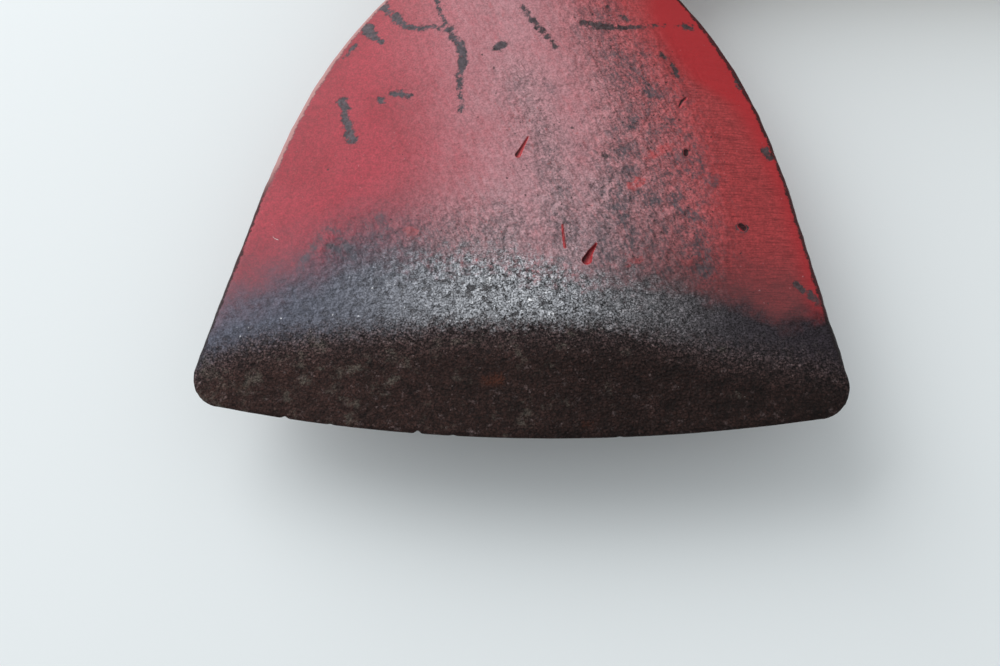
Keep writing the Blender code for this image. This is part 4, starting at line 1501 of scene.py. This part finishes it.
    def hairlines(self, shade: Shade, place: Socket) -> Socket:
        """Thin straight scratches at several angles, as a mask."""
        lines: Any = 0.0
        for angle in self.hairline_angles:
            drawn = shade.stretch(shade.turn(place, angle), (4.2, 0.2, 1.0))
            lines = shade.math("MAXIMUM", lines, shade.band(shade.noise(drawn, 1.0, 2.0), 0.64, 0.76))
        return lines

    def steel(
        self, shade: Shade, effects: Effects, place: Socket, hide: Socket, peel: Socket
    ) -> tuple[Socket, Socket]:
        """Colour and height of the bare steel above the bevel, lighter in the middle as a painted reflection,
        with painted glints and painted light on its bumps.

        Args:
            shade: builder of the material's tree.
            effects: the shared node groups.
            place: coordinates in millimetres.
            hide: small rounded bumps.
            peel: smooth unevenness, from -0.5 to 0.5.

        Returns:
            The colour and the height.
        """
        reflecting_steel = shade.use(
            effects.speckle, Vector=place, Scale=0.8, Contrast=2.0,
            Dark=self.steel_dark, Middle=self.steel_middle, Light=self.steel_highlight,
        )
        tone = shade.mask("tone")
        side = shade.mix(shade.band(tone, -0.45, 0.35), self.blue_steel, self.brown_steel)
        side = shade.mix(shade.band(tone, 0.4, 0.75), side, self.smoked_steel)
        bumpy = shade.times(shade.band(tone, -0.1, 0.3), shade.band(tone, 0.85, 0.45))
        contrast = shade.scaled(bumpy, 1.6, 1.0)
        drawn = shade.stretch(shade.turn(place, self.brush_angle), (2.6, 0.4, 1.0))
        # The dull steel follows its grain; on the bumpy part its bumps are also painted lighter and their
        # gaps darker, as painted light and shade.
        dull = shade.tint(side, shade.add(
            1.0,
            shade.times(shade.swing(reflecting_steel["Height"], 0.8), contrast),
            shade.swing(shade.noise(drawn, 1.0, 3.0, 0.6), 0.9),
            shade.times(shade.swing(hide, 0.9), bumpy),
        ))
        # Painted reflection: the steel is lighter and more speckled in the cheek's middle.
        steel = shade.mix(shade.mask("painted_shine"), dull, reflecting_steel["Color"])
        # Painted glints: sparse light dots on the steel.
        steel_glints = shade.use(effects.pits, Vector=place, Scale=1.0, Density=0.42, Size=0.16)["Mask"]
        inside = shade.times(shade.band(tone, 0.3, -0.2), shade.band(shade.mask("paint_edge"), -0.5, -3.0))
        steel = shade.mix(shade.times(steel_glints, inside, 0.6), steel, self.steel_highlight)
        holes = shade.band(shade.noise(place, 0.9, 6.0, 0.72), 0.545, 0.60)
        holes = shade.times(holes, shade.scaled(shade.mask("painted_shine"), 0.6, 0.25))
        steel = shade.mix(holes, steel, self.steel_dark)
        height = shade.add(shade.times(peel, 1.5), shade.times(holes, -1.0), shade.times(hide, bumpy, 1.5))
        return steel, height

    def rust(
        self, shade: Shade, effects: Effects, place: Socket, fine: Socket, hide: Socket, peel: Socket
    ) -> tuple[Socket, Socket]:
        """Colour and height of the browned bevel, with painted highlights near its top line and painted light
        and shade on its small bumps.

        Args:
            shade: builder of the material's tree.
            effects: the shared node groups.
            place: coordinates in millimetres.
            fine: fine noise.
            hide: small rounded bumps.
            peel: smooth unevenness, from -0.5 to 0.5.

        Returns:
            The colour and the height.
        """
        brown = shade.use(
            effects.speckle, Vector=place, Scale=0.9, Contrast=2.3,
            Dark=self.rust_dark, Middle=self.rust_middle, Light=self.rust_light,
        )
        tone, near_line = shade.mask("tone"), shade.band(shade.mask("bevel_edge"), 7.0, 0.0)
        broad = shade.noise(place, 0.11, 3.0)
        mottle = shade.noise(place, 0.42, 4.0, 0.62)
        # Lighter near the bevel's top line as a painted highlight, and darker towards the right.
        level = shade.add(
            0.48, shade.times(broad, 0.6), shade.swing(mottle, 1.5), shade.times(near_line, 0.8),
            shade.times(tone, -0.38),
        )
        # Painted light and shade on the small bumps, strongest near the top line.
        painted_bump_shading = shade.times(shade.swing(hide, 1.4), shade.scaled(near_line, 0.6, 0.45))
        painted_bump_shading = shade.add(1.0, painted_bump_shading)
        base = shade.mix(shade.times(near_line, 0.45), brown["Color"], self.rust_grey_highlight)
        colour = shade.tint(base, shade.times(level, painted_bump_shading, 1.25))
        scab = shade.noise(place, 0.3, 5.0, 0.7)
        scab = shade.band(shade.add(scab, shade.swing(fine, 0.12), shade.times(tone, -0.07)), 0.57, 0.72)
        colour = shade.mix(shade.times(scab, 0.4), colour, self.lichen)
        stain = shade.add(shade.times(shade.mask("stain"), 0.9), shade.swing(fine, 1.2), -0.1)
        colour = shade.mix(shade.times(shade.band(stain, 0.2, 0.9), 0.6), colour, self.rust_red)
        dotted = shade.add(shade.times(shade.mask("crust"), 0.7), shade.swing(fine, 1.6))
        colour = shade.mix(shade.times(shade.band(dotted, 0.25, 0.85), 0.6), colour, self.lichen)
        # Painted glints: pale grains near the top line, in the cheek's middle.
        limit = shade.scaled(shade.times(near_line, shade.mask("painted_shine")), -0.13, 0.71)
        glint_specks = shade.band(shade.noise(place, 1.5, 4.0, 0.7), limit, shade.add(limit, 0.06))
        colour = shade.mix(shade.times(glint_specks, 0.8), colour, self.glint)
        return colour, shade.add(hide, peel, shade.times(glint_specks, 0.5))


@dataclass(frozen=True)
class OiledAsh:
    """Oiled ash, darkened by hands and oil."""

    name: str = "oiled_ash"
    light: Colour = (0.50, 0.325, 0.165)
    dark: Colour = (0.325, 0.180, 0.078)
    hand_dirt: Colour = (0.085, 0.050, 0.026)
    pore_dark: Colour = (0.075, 0.038, 0.016)
    ring_width: float = 1.7

    def make(self, effects: Effects) -> Material:
        """The material, which reads the haft's handling from its mesh."""
        material, shade, shader, place = begin(self.name)
        wood = shade.use(
            effects.wood_grain, Vector=place, Ring_Width=self.ring_width, Light=self.light, Dark=self.dark
        )
        blotch = shade.noise(shade.stretch(place, (0.02, 0.07, 0.07)), 1.0, 3.0)
        fine = shade.noise(place, 0.8, 4.0, 0.6)
        handled = shade.math("MULTIPLY", shade.mask("handled"), shade.band(blotch, 0.28, 0.72))
        colour = shade.tint(wood["Color"], shade.scaled(blotch, 0.7, 0.62))
        colour = shade.mix(shade.times(wood["Pores"], 0.75), colour, self.pore_dark)
        colour = shade.mix(shade.times(handled, 0.55), colour, self.hand_dirt)
        knocks = shade.use(effects.pits, Vector=place, Scale=0.16, Density=0.12, Size=0.2)["Mask"]
        colour = shade.mix(shade.times(knocks, 0.6), colour, self.hand_dirt)
        edge = shade.mask("edge")
        worn = shade.use(effects.edge_wear, Vector=place, Edge=edge, Scale=0.5, Amount=0.0)["Mask"]
        colour = shade.mix(shade.times(worn, 0.55), colour, self.hand_dirt)
        bump(shade, shader, shade.add(shade.times(wood["Height"], 0.07), shade.times(knocks, -0.12)))
        set_shader(shade, shader, {
            "Base Color": colour,
            "Roughness": shade.add(0.54, shade.times(handled, -0.12), shade.swing(fine, 0.16)),
            "Specular IOR Level": 0.4,
        })
        return material


@dataclass(frozen=True)
class WedgeWood:
    """Dark end of a hardwood wedge, bruised by the hammer."""

    name: str = "bruised_wedge_wood"
    light: Colour = (0.30, 0.165, 0.075)
    dark: Colour = (0.125, 0.062, 0.026)
    bruise: Colour = (0.050, 0.030, 0.018)

    def make(self, effects: Effects) -> Material:
        """The material of the wooden wedge."""
        material, shade, shader, place = begin(self.name)
        turned = shade.stretch(place, (1.0, 1.6, 1.0))
        wood = shade.use(effects.wood_grain, Vector=turned, Ring_Width=1.1, Light=self.light, Dark=self.dark)
        fine = shade.noise(place, 1.1, 4.0, 0.65)
        edge = shade.mask("edge")
        bruised = shade.use(effects.edge_wear, Vector=place, Edge=edge, Scale=0.8, Amount=0.05)["Mask"]
        colour = shade.mix(shade.times(bruised, 0.7), wood["Color"], self.bruise)
        colour = shade.mix(shade.times(wood["Pores"], 0.7), colour, self.bruise)
        bump(shade, shader, shade.add(shade.times(wood["Height"], 0.09), shade.times(fine, 0.08)))
        set_shader(shade, shader, {
            "Base Color": colour,
            "Roughness": shade.add(0.66, shade.swing(fine, 0.2)),
            "Specular IOR Level": 0.35,
        })
        return material


@dataclass(frozen=True)
class BlackSteel:
    """Scaled steel with rubbed edges and freckles of rust."""

    name: str
    scale_colour: Colour
    bare_colour: Colour
    rust_colour: Colour
    rust: float

    def make(self, effects: Effects) -> Material:
        """The material, which reads the rubbed edges from the mesh."""
        material, shade, shader, place = begin(self.name)
        steel = shade.use(
            effects.black_steel, Vector=place, Edge=shade.mask("edge"), Rust=self.rust,
            Scale_Colour=self.scale_colour, Bare_Colour=self.bare_colour, Rust_Colour=self.rust_colour,
        )
        bump(shade, shader, shade.times(steel["Height"], 0.05))
        set_shader(shade, shader, {
            "Base Color": steel["Color"],
            "Metallic": steel["Metallic"],
            "Roughness": steel["Roughness"],
        })
        return material


STRAP_STEEL = BlackSteel(
    "scaled_strap_steel", (0.060, 0.057, 0.057), (0.36, 0.35, 0.34), (0.085, 0.034, 0.015), 0.16
)
RIVET_STEEL = BlackSteel(
    "hammered_rivet_steel", (0.085, 0.080, 0.078), (0.46, 0.45, 0.43), (0.090, 0.036, 0.016), 0.12
)
WEDGE_STEEL = BlackSteel(
    "hammered_wedge_steel", (0.095, 0.085, 0.080), (0.40, 0.38, 0.36), (0.105, 0.042, 0.018), 0.30
)


@dataclass(frozen=True)
class PaleFloor:
    """Plain pale board under the axe, with a faint painted reflection of clouds."""

    name: str = "pale_floor"
    colour: Colour = (0.82, 0.865, 0.88)
    roughness: float = 0.5

    def make(self) -> Material:
        """The floor's material."""
        material, shade, shader, place = begin(self.name)
        # Faint blotches: in the colour a painted reflection of clouds, in the roughness an uneven gloss.
        cloud = shade.noise(place, 0.004, 3.0)
        set_shader(shade, shader, {
            "Base Color": shade.tint(self.colour, shade.scaled(cloud, 0.06, 0.97)),
            "Roughness": shade.scaled(cloud, 0.1, self.roughness - 0.05),
            "Specular IOR Level": 0.12,
        })
        return material


# Haft, straps, rivets and wedges


def plate_ring(half_width: float, half_thickness: float, radius: float, count: int) -> Array:
    """(across, up) points of a plate's section with rounded edges, top face first."""
    reach = min(radius, 0.9 * half_width)
    fall = min(radius, 0.85 * half_thickness)
    angle = math.pi / 2 * (1 - np.arange(1, 4) / 3)
    across, up = half_width - reach + reach * np.cos(angle), half_thickness - fall + fall * np.sin(angle)
    corner = np.column_stack([across, up])
    row = np.linspace(reach - half_width, half_width - reach, count)
    top = np.column_stack([row, np.full(count, half_thickness)])
    upper = np.concatenate([corner[::-1] * (-1, 1), top, corner])
    return np.concatenate([upper, upper[::-1] * (1, -1)])


@dataclass
class HaftForm:
    """Sizes of the haft and of what is fitted to it."""

    clearance: float = 0.0003
    tongue_top: float = -0.024
    tongue_width: float = 0.0334
    tongue_chamfer: float = 0.0012
    tongue_radius: float = 0.0062
    shoulder: float = 0.0213
    shoulder_chamfer: float = 0.0015
    shoulder_width: float = 0.039
    waist: float = 0.2133
    waist_width: float = 0.033
    butt: float = 0.3633
    end: float = 0.3733
    butt_width: float = 0.045
    butt_round: float = 0.010
    butt_inset: float = 0.0075
    butt_sweep: float = 0.004
    swell_power: float = 1.9
    squareness: float = 3.2
    grip_squareness: float = 2.2
    half_thickness: float = 0.0112
    butt_half_thickness: float = 0.017
    strap_inner: float = 0.0092
    strap_thickness: float = 0.002
    strap_width: float = 0.018
    strap_end: float = 0.189
    strap_lip: float = 0.006
    strap_let_in: float = 0.0002
    rivet_places: tuple[float, ...] = (0.045, 0.0887, 0.1323, 0.176)
    rivet_shank_radius: float = 0.0025
    rivet_head_radius: float = 0.00475
    rivet_head_height: float = 0.0022
    wedge_depth: float = 0.030
    wedge_inset: float = 0.0015
    wedge_top_half: float = 0.0026
    wedge_tip_half: float = 0.0006
    steel_wedge_depth: float = 0.020
    steel_wedge_half_height: float = 0.0070
    steel_wedge_place: float = 0.0085
    steel_wedge_top_half: float = 0.0015
    steel_wedge_tip_half: float = 0.0003

    def half_width(self, x: float) -> float:
        """Half the haft's width at a place along it."""
        if x < self.waist:
            share = (self.waist - x) / (self.waist - self.shoulder)
            return mix(self.waist_width, self.shoulder_width, share**self.swell_power) / 2
        share = min((x - self.waist) / (self.butt - self.waist), 1.0)
        return mix(self.waist_width, self.butt_width, share**self.swell_power) / 2

    def half_height(self, x: float) -> float:
        """Half the haft's thickness at a place along it."""
        share = min(max((x - self.strap_end) / (self.butt - self.strap_end), 0.0), 1.0)
        return mix(self.half_thickness + self.strap_let_in, self.butt_half_thickness, share**self.swell_power)

    def grip_ring(self, x: float, count: int) -> Array:
        """Section of the haft below the head."""
        grip = float(ease((x - self.strap_end) / (self.end - self.strap_end)))
        turn = min(max(x - self.butt, 0.0) / self.butt_round, 1.0)
        inset = self.butt_inset * (1 - math.sqrt(1 - turn * turn))
        squareness = mix(self.squareness, self.grip_squareness, grip)
        outline = oval(self.half_width(x) - inset, self.half_height(x) - inset, squareness, count)
        return along_x(x, outline, -self.butt_sweep * grip**2)

    def tongue_ring(self, x: float, inset: float, corner: int) -> Array:
        """Section of the tongue in the eye."""
        width, thickness = self.tongue_width / 2 - inset, self.half_thickness - inset
        return along_x(x, rounded_rectangle(width, thickness, self.tongue_radius - inset, corner))

    def strap_rings(self, margin: float, overcut: float) -> list[Array]:
        """Sections of the space that a strap takes in the haft's upper side."""
        half = self.strap_width / 2
        middle = self.strap_end - half
        low, high = self.strap_inner - margin, self.half_thickness + 4 * MM
        rings = []
        angles = np.linspace(0.0, 0.499 * math.pi, 14)
        turns = [middle + (half + margin) * math.sin(angle) for angle in angles]
        for x in (self.tongue_top - overcut, *turns):
            reach = math.sqrt(max((half + margin) ** 2 - max(x - middle, 0.0) ** 2, 1e-9))
            outline = np.array([(-reach, high), (reach, high), (reach, low), (-reach, low)])
            rings.append(along_x(x, outline))
        return rings

    def pin(self, name: str, x: float, radius: float, reach: float) -> Object:
        """Round pin across the haft."""
        angle = 2 * math.pi * (np.arange(32) + 0.5) / 32
        circle = np.column_stack([x + radius * np.cos(angle), radius * np.sin(angle)])
        rings = [np.column_stack([circle, np.full(32, z)]) for z in (-reach, reach)]
        return loft(name, rings)

    def wooden_wedge_rings(self, half: float, margin: float, overcut: float) -> list[Array]:
        """Sections of the wooden wedge, or of its kerf, from its top to its tip."""
        rings = []
        tip = self.tongue_top + self.wedge_depth + margin
        for x in (self.tongue_top - overcut, *np.linspace(self.tongue_top, tip, 16)):
            share = min(max((x - self.tongue_top) / self.wedge_depth, 0.0), 1.0)
            thickness = mix(self.wedge_top_half, self.wedge_tip_half, share) + margin
            rings.append(along_x(x, plate_ring(half, thickness, 0.3 * MM, 41)))
        return rings

    def steel_wedge_rings(self, y: float, margin: float, overcut: float) -> list[Array]:
        """Sections of one steel wedge from its top to its tip."""
        rings = []
        tip = self.tongue_top + self.steel_wedge_depth + margin
        for x in (self.tongue_top - overcut, *np.linspace(self.tongue_top, tip, 12)):
            share = min(max((x - self.tongue_top) / self.steel_wedge_depth, 0.0), 1.0)
            thickness = mix(self.steel_wedge_top_half, self.steel_wedge_tip_half, share) + margin
            outline = plate_ring(self.steel_wedge_half_height + margin, thickness, 0.2 * MM, 25)
            rings.append(along_x(x, outline[:, ::-1], y))
        return rings


@dataclass
class Haft:
    """Ash haft: a tongue through the eye, a shaft with straps let in and a swelled grip."""

    form: HaftForm
    corner: int = 24
    step: float = 0.0016
    dent_count: int = 22
    dent_depth: float = 0.00028
    unevenness: float = 0.0001

    def build(self) -> Object:
        """The haft's mesh, with its recesses, kerf, holes and dents."""
        form = self.form
        count = 4 * self.corner
        top = form.tongue_top
        rings = [
            form.tongue_ring(top, form.tongue_chamfer, self.corner),
            form.tongue_ring(top + 0.35 * form.tongue_chamfer, 0.4 * form.tongue_chamfer, self.corner),
            form.tongue_ring(top + form.tongue_chamfer, 0.0, self.corner),
        ]
        steps = np.linspace(top + 2 * form.tongue_chamfer, form.shoulder, 26)
        rings += [form.tongue_ring(x, 0.0, self.corner) for x in steps]
        start = form.shoulder + form.shoulder_chamfer
        rings += [form.grip_ring(x, count) for x in np.arange(start, form.butt, self.step)]
        turns = np.linspace(0.0, 0.5 * math.pi, 16)
        rings += [form.grip_ring(form.butt + form.butt_round * math.sin(turn), count) for turn in turns]
        haft = loft("oiled_ash_haft", rings)
        recess = form.strap_rings(form.clearance, 2 * MM)
        cutters = [loft("upper_recess", recess), loft("lower_recess", [ring * (1, 1, -1) for ring in recess])]
        kerf_half = form.tongue_width / 2 + 2 * MM
        cutters.append(loft("kerf", form.wooden_wedge_rings(kerf_half, form.clearance, 2 * MM)))
        for y in (-form.steel_wedge_place, form.steel_wedge_place):
            cutters.append(loft("wedge_slot", form.steel_wedge_rings(y, form.clearance, 2 * MM)))
        for x in form.rivet_places:
            cutters.append(form.pin("rivet_hole", x, form.rivet_shank_radius + form.clearance, 30 * MM))
        cut(haft, cutters)
        self.dent(haft.data)
        return haft

    def dent(self, mesh: Mesh) -> None:
        """Press knocks and unevenness into the shaft, and keep the values that its finish reads."""
        form = self.form
        points = places(mesh)
        outward = normals(mesh)
        shaft = ease((points[:, 0] - form.shoulder - 4 * MM) / (6 * MM))
        beyond = ease((points[:, 0] - form.strap_end) / (8 * MM))
        sides = ease((np.abs(points[:, 1]) - 0.55 * form.strap_width) / (4 * MM))
        free = shaft * np.maximum(beyond, sides)
        rise = self.unevenness * lumps(points, 16 * MM, 2.0)
        draw = np.random.default_rng(21)
        for _ in range(self.dent_count):
            x = draw.uniform(form.shoulder + 15 * MM, form.end)
            side = draw.uniform(0.0, 2 * math.pi)
            place = np.array([x, form.half_width(x) * math.cos(side), form.half_height(x) * math.sin(side)])
            size = np.array([draw.uniform(2.0, 6.0), draw.uniform(1.0, 2.2), draw.uniform(1.0, 2.2)]) * MM
            gap = np.linalg.norm((points - place) / size, axis=1)
            rise = rise - draw.uniform(0.4, 1.0) * self.dent_depth * ease(1.2 - gap)
        points += outward * (free * rise)[:, None]
        put_places(mesh, points + (0, 0, AXIS_HEIGHT))
        rim = ease((points[:, 0] - form.butt) / form.butt_round - 0.2)
        rim = rim * (1 - ease((np.abs(outward[:, 0]) - 0.75) / 0.2))
        tongue = ease(1 - (points[:, 0] - form.tongue_top) / (1.4 * form.tongue_chamfer))
        handled = 0.35 + 0.65 * ease((points[:, 0] - 0.19) / 0.06)
        handled = handled + 0.4 * ease(1 - (points[:, 0] - form.shoulder) / 0.02)
        put_masks(mesh, {"handled": np.clip(handled, 0.0, 1.0), "edge": np.maximum(rim, 0.9 * tongue)})


@dataclass
class Straps:
    """Steel side straps, hooked over the eye and let into the haft."""

    form: HaftForm
    eye_half_height: float
    bend_radius: float = 0.0013
    edge_round: float = 0.0004
    row: int = 25
    step: float = 0.0016
    unevenness: float = 0.00005

    def line(self) -> list[tuple[float, float, float, float]]:
        """Middle line of a strap: place along and up, direction, and half width."""
        form = self.form
        half = form.strap_thickness / 2
        level = form.strap_inner + half
        lip = -(self.eye_half_height + form.clearance + half)
        top = form.strap_inner + form.strap_lip
        width = form.strap_width / 2
        path = [(lip, z, -math.pi / 2, width) for z in np.linspace(top, level + self.bend_radius, 5)[:-1]]
        path[0] = (lip, top, -math.pi / 2, width - 0.4 * MM)
        path.insert(1, (lip, top - 0.3 * MM, -math.pi / 2, width))
        for turn in np.linspace(0.0, math.pi / 2, 8):
            x = lip + self.bend_radius * (1 - math.cos(turn))
            path.append((x, level + self.bend_radius * (1 - math.sin(turn)), turn - math.pi / 2, width))
        middle = form.strap_end - width
        steps = np.arange(lip + self.bend_radius + self.step, middle, self.step)
        path += [(x, level, 0.0, width) for x in steps]
        for turn in np.linspace(0.0, 0.495 * math.pi, 14):
            path.append((middle + width * math.sin(turn), level, 0.0, width * math.cos(turn)))
        return path

    def build(self, name: str, side: int) -> Object:
        """One strap's mesh.

        Args:
            name: name of the object.
            side: 1 for the upper strap, -1 for the lower one.

        Returns:
            The strap, with its rivet holes and worn edges.
        """
        form = self.form
        rings = []
        for x, z, heading, half_width in self.line():
            outline = plate_ring(half_width, form.strap_thickness / 2, self.edge_round, self.row)
            across, up = outline[:, 0], outline[:, 1]
            level = side * (z + up * math.cos(heading))
            rings.append(np.column_stack([x - up * math.sin(heading), across, level]))
        strap = loft(name, rings)
        radius = form.rivet_shank_radius + form.clearance
        cut(strap, [form.pin("strap_hole", x, radius, 30 * MM) for x in form.rivet_places])
        mesh = strap.data
        points = places(mesh)
        points[:, 2] += self.unevenness * lumps(points, 6 * MM, 4.0 + side)
        put_places(mesh, points + (0, 0, AXIS_HEIGHT))
        half = form.strap_width / 2
        over = np.maximum(points[:, 0] - (form.strap_end - half), 0.0)
        gap = half - np.hypot(points[:, 1], over)
        lip = (points[:, 0] + self.eye_half_height + 3 * MM) / MM
        reaches = [np.hypot(points[:, 0] - x, points[:, 1]) for x in form.rivet_places]
        holes_gap = np.min([np.abs(reach - form.rivet_head_radius) for reach in reaches], 0)
        edge = np.maximum(ease(1 - gap / (1.6 * MM)), ease(1 - lip / 1.2))
        put_masks(mesh, {"edge": np.maximum(edge, 0.75 * ease(1 - holes_gap / MM))})
        return strap


@dataclass
class Rivets:
    """Rivets through strap, haft and strap, with hammered heads."""

    form: HaftForm
    count: int = 48
    head_rows: int = 10
    roundness: float = 2.4
    hammer_depth: float = 0.00014

    def build(self, number: int) -> Object:
        """One rivet's mesh, numbered from 1 at the head of the axe."""
        form = self.form
        x = form.rivet_places[number - 1]
        seat = form.strap_inner + form.strap_thickness + form.clearance
        angle = 2 * math.pi * (np.arange(self.count) + 0.5) / self.count
        rows = [(seat, form.rivet_shank_radius), (seat, form.rivet_head_radius - 0.25 * MM)]
        for turn in np.linspace(0.1, math.pi / 2 - 0.04, self.head_rows):
            swell = math.cos(turn) ** (2 / self.roundness)
            rise = math.sin(turn) ** (2 / self.roundness)
            rows.append((seat + form.rivet_head_height * rise, form.rivet_head_radius * swell))
        rings = []
        for z, radius in [(-z, radius) for z, radius in reversed(rows)] + rows:
            circle = (x + radius * np.cos(angle), radius * np.sin(angle))
            rings.append(np.column_stack([*circle, np.full(self.count, z)]))
        rivet = loft(f"hammered_rivet_{number}", rings)
        points = places(rivet.data)
        head = ease((np.abs(points[:, 2]) - seat) / (0.4 * MM))
        outward = normals(rivet.data)
        hammer = self.hammer_depth * lumps(points, 2.3 * MM, 6.0 + number)
        points += outward * (head * np.minimum(hammer, 0.0))[:, None]
        put_places(rivet.data, points + (0, 0, AXIS_HEIGHT))
        crown = ease((np.abs(points[:, 2]) - seat) / form.rivet_head_height)
        put_masks(rivet.data, {"edge": 0.75 * crown})
        return rivet


@dataclass
class Wedges:
    """Wooden wedge in the tongue's kerf and two steel wedges driven across it."""

    form: HaftForm
    proud: float = 0.0006
    flare: float = 0.0003

    def build_wooden(self) -> Object:
        """The wooden wedge's mesh, split by the steel ones."""
        form = self.form
        half = form.tongue_width / 2 - form.wedge_inset
        wedge = loft("bruised_wooden_wedge", form.wooden_wedge_rings(half, 0.0, 0.0)[1:])
        slots = [
            loft("wedge_slot", form.steel_wedge_rings(y, form.clearance, 2 * MM))
            for y in (-form.steel_wedge_place, form.steel_wedge_place)
        ]
        cut(wedge, slots)
        points = places(wedge.data)
        top = ease(1 - (points[:, 0] - form.tongue_top) / (0.5 * MM))
        points[:, 0] += 0.0002 * top * lumps(points, 2 * MM, 9.0)
        put_places(wedge.data, points + (0, 0, AXIS_HEIGHT))
        put_masks(wedge.data, {"edge": top})
        return wedge

    def build_steel(self, name: str, y: float) -> Object:
        """One steel wedge's mesh, its top spread by the hammer."""
        form = self.form
        rings = form.steel_wedge_rings(y, 0.0, 0.0)[1:]
        spread = []
        for share, grow in ((1.0, -0.5), (0.75, 0.8), (0.35, 1.0), (0.1, 0.5)):
            middle = rings[0].mean(0)
            offset = rings[0] - middle
            away = np.sign(offset) * (0, grow * self.flare, grow * self.flare)
            spread.append(rings[0] + away - (share * self.proud, 0, 0))
        wedge = loft(name, spread + rings)
        points = places(wedge.data)
        top = ease((form.tongue_top - points[:, 0]) / (0.3 * self.proud))
        points[:, 0] += 0.00014 * top * lumps(points, 1.6 * MM, 5.0 + y / MM)
        points[:, 1:] += (0.00012 * top * lumps(points, 1.3 * MM, 2.0 + y / MM))[:, None]
        put_places(wedge.data, points + (0, 0, AXIS_HEIGHT))
        put_masks(wedge.data, {"edge": 0.8 * top})
        return wedge


# Studio


@dataclass
class Studio:
    """Pale floor under soft studio light, seen by the photograph's camera."""

    view: PhotoView
    floor_half: float = 3.0
    floor_level: float = -0.0001
    sky: Colour = (0.98, 1.0, 1.01)
    sky_strength: float = 0.60
    lamp_place: tuple[float, float, float] = (-0.52, 0.42, 0.60)
    lamp_aim: tuple[float, float, float] = (0.0, -0.07, 0.0)
    lamp_size: float = 0.85
    lamp_power: float = 6.2

    def build(self) -> None:
        """Clear what isn't the axe's, and set floor, light, camera and view."""
        kept = set(frame["nodes"].values()) | set(frame["bodies"].values())
        for obj in list(bpy.context.scene.objects):
            if obj.type in {"CAMERA", "LIGHT"} or (obj.name == "Cube" and obj not in kept):
                bpy.data.objects.remove(obj, do_unlink=True)
        self.lay_floor()
        self.light()
        self.view.make_camera()
        bpy.context.scene.view_settings.view_transform = "Standard"

    def lay_floor(self) -> None:
        """The floor, which isn't part of the axe."""
        half = self.floor_half
        corners = [(-half, -half), (half, -half), (half, half), (-half, half)]
        mesh = bpy.data.meshes.new("floor")
        mesh.from_pydata([(x, y, self.floor_level) for x, y in corners], [], [(0, 1, 2, 3)])
        mesh.materials.append(PaleFloor().make())
        floor = bpy.data.objects.new("floor", mesh)
        bpy.context.scene.collection.objects.link(floor)

    def light(self) -> None:
        """Even light from all round, and one large soft lamp above and behind."""
        world = bpy.data.worlds.new("studio")
        bpy.context.scene.world = world
        world.use_nodes = True
        background = world.node_tree.nodes["Background"]
        background.inputs["Color"].default_value = (*self.sky, 1.0)
        background.inputs["Strength"].default_value = self.sky_strength
        data = bpy.data.lights.new("soft_lamp", "AREA")
        data.shape = "SQUARE"
        data.size = self.lamp_size
        data.energy = self.lamp_power
        lamp = bpy.data.objects.new("soft_lamp", data)
        away = Vector(self.lamp_place) - Vector(self.lamp_aim)
        turn = away.to_track_quat("Z", "Y").to_matrix().to_4x4()
        lamp.matrix_world = Matrix.Translation(self.lamp_place) @ turn
        bpy.context.scene.collection.objects.link(lamp)


# The whole axe


def dress(piece: Object, node: str, material: Material) -> None:
    """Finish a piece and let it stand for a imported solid.

    Args:
        piece: the piece's object.
        node: name of the solid that it replaces.
        material: its finish.
    """
    mesh = piece.data
    mesh.materials.clear()
    mesh.materials.append(material)
    mesh.shade_smooth()
    mesh.set_sharp_from_angle(angle=SHARP_ANGLE)
    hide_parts(node)
    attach(piece, BODY)
    LOG.info("%s: %d vertices, %d faces", piece.name, len(mesh.vertices), len(mesh.polygons))


def main() -> None:
    """Build the axe's pieces in order, then the studio round them."""
    logging.basicConfig(level=logging.INFO, format="%(name)s %(message)s")
    view = PhotoView()
    head_form = HeadForm()
    haft_form = HaftForm()
    effects = Effects()

    head = Head(head_form, CheekMarks(head_form, view))
    dress(head.build(), "axe_head", WornPaint().make(effects))
    dress(Haft(haft_form).build(), "haft", OiledAsh().make(effects))

    straps = Straps(haft_form, head_form.eye_half_height)
    strap_steel = STRAP_STEEL.make(effects)
    dress(straps.build("scaled_upper_strap", 1), "upper_strap", strap_steel)
    dress(straps.build("scaled_lower_strap", -1), "lower_strap", strap_steel)

    rivets = Rivets(haft_form)
    rivet_steel = RIVET_STEEL.make(effects)
    for number in range(1, len(haft_form.rivet_places) + 1):
        dress(rivets.build(number), f"strap_rivet_{number}", rivet_steel)

    wedges = Wedges(haft_form)
    wedge_steel = WEDGE_STEEL.make(effects)
    place = haft_form.steel_wedge_place
    dress(wedges.build_wooden(), "wooden_wedge", WedgeWood().make(effects))
    dress(wedges.build_steel("spread_front_wedge", -place), "steel_wedge_front", wedge_steel)
    dress(wedges.build_steel("spread_back_wedge", place), "steel_wedge_back", wedge_steel)

    Studio(view).build()


if __name__ == "__main__":
    main()
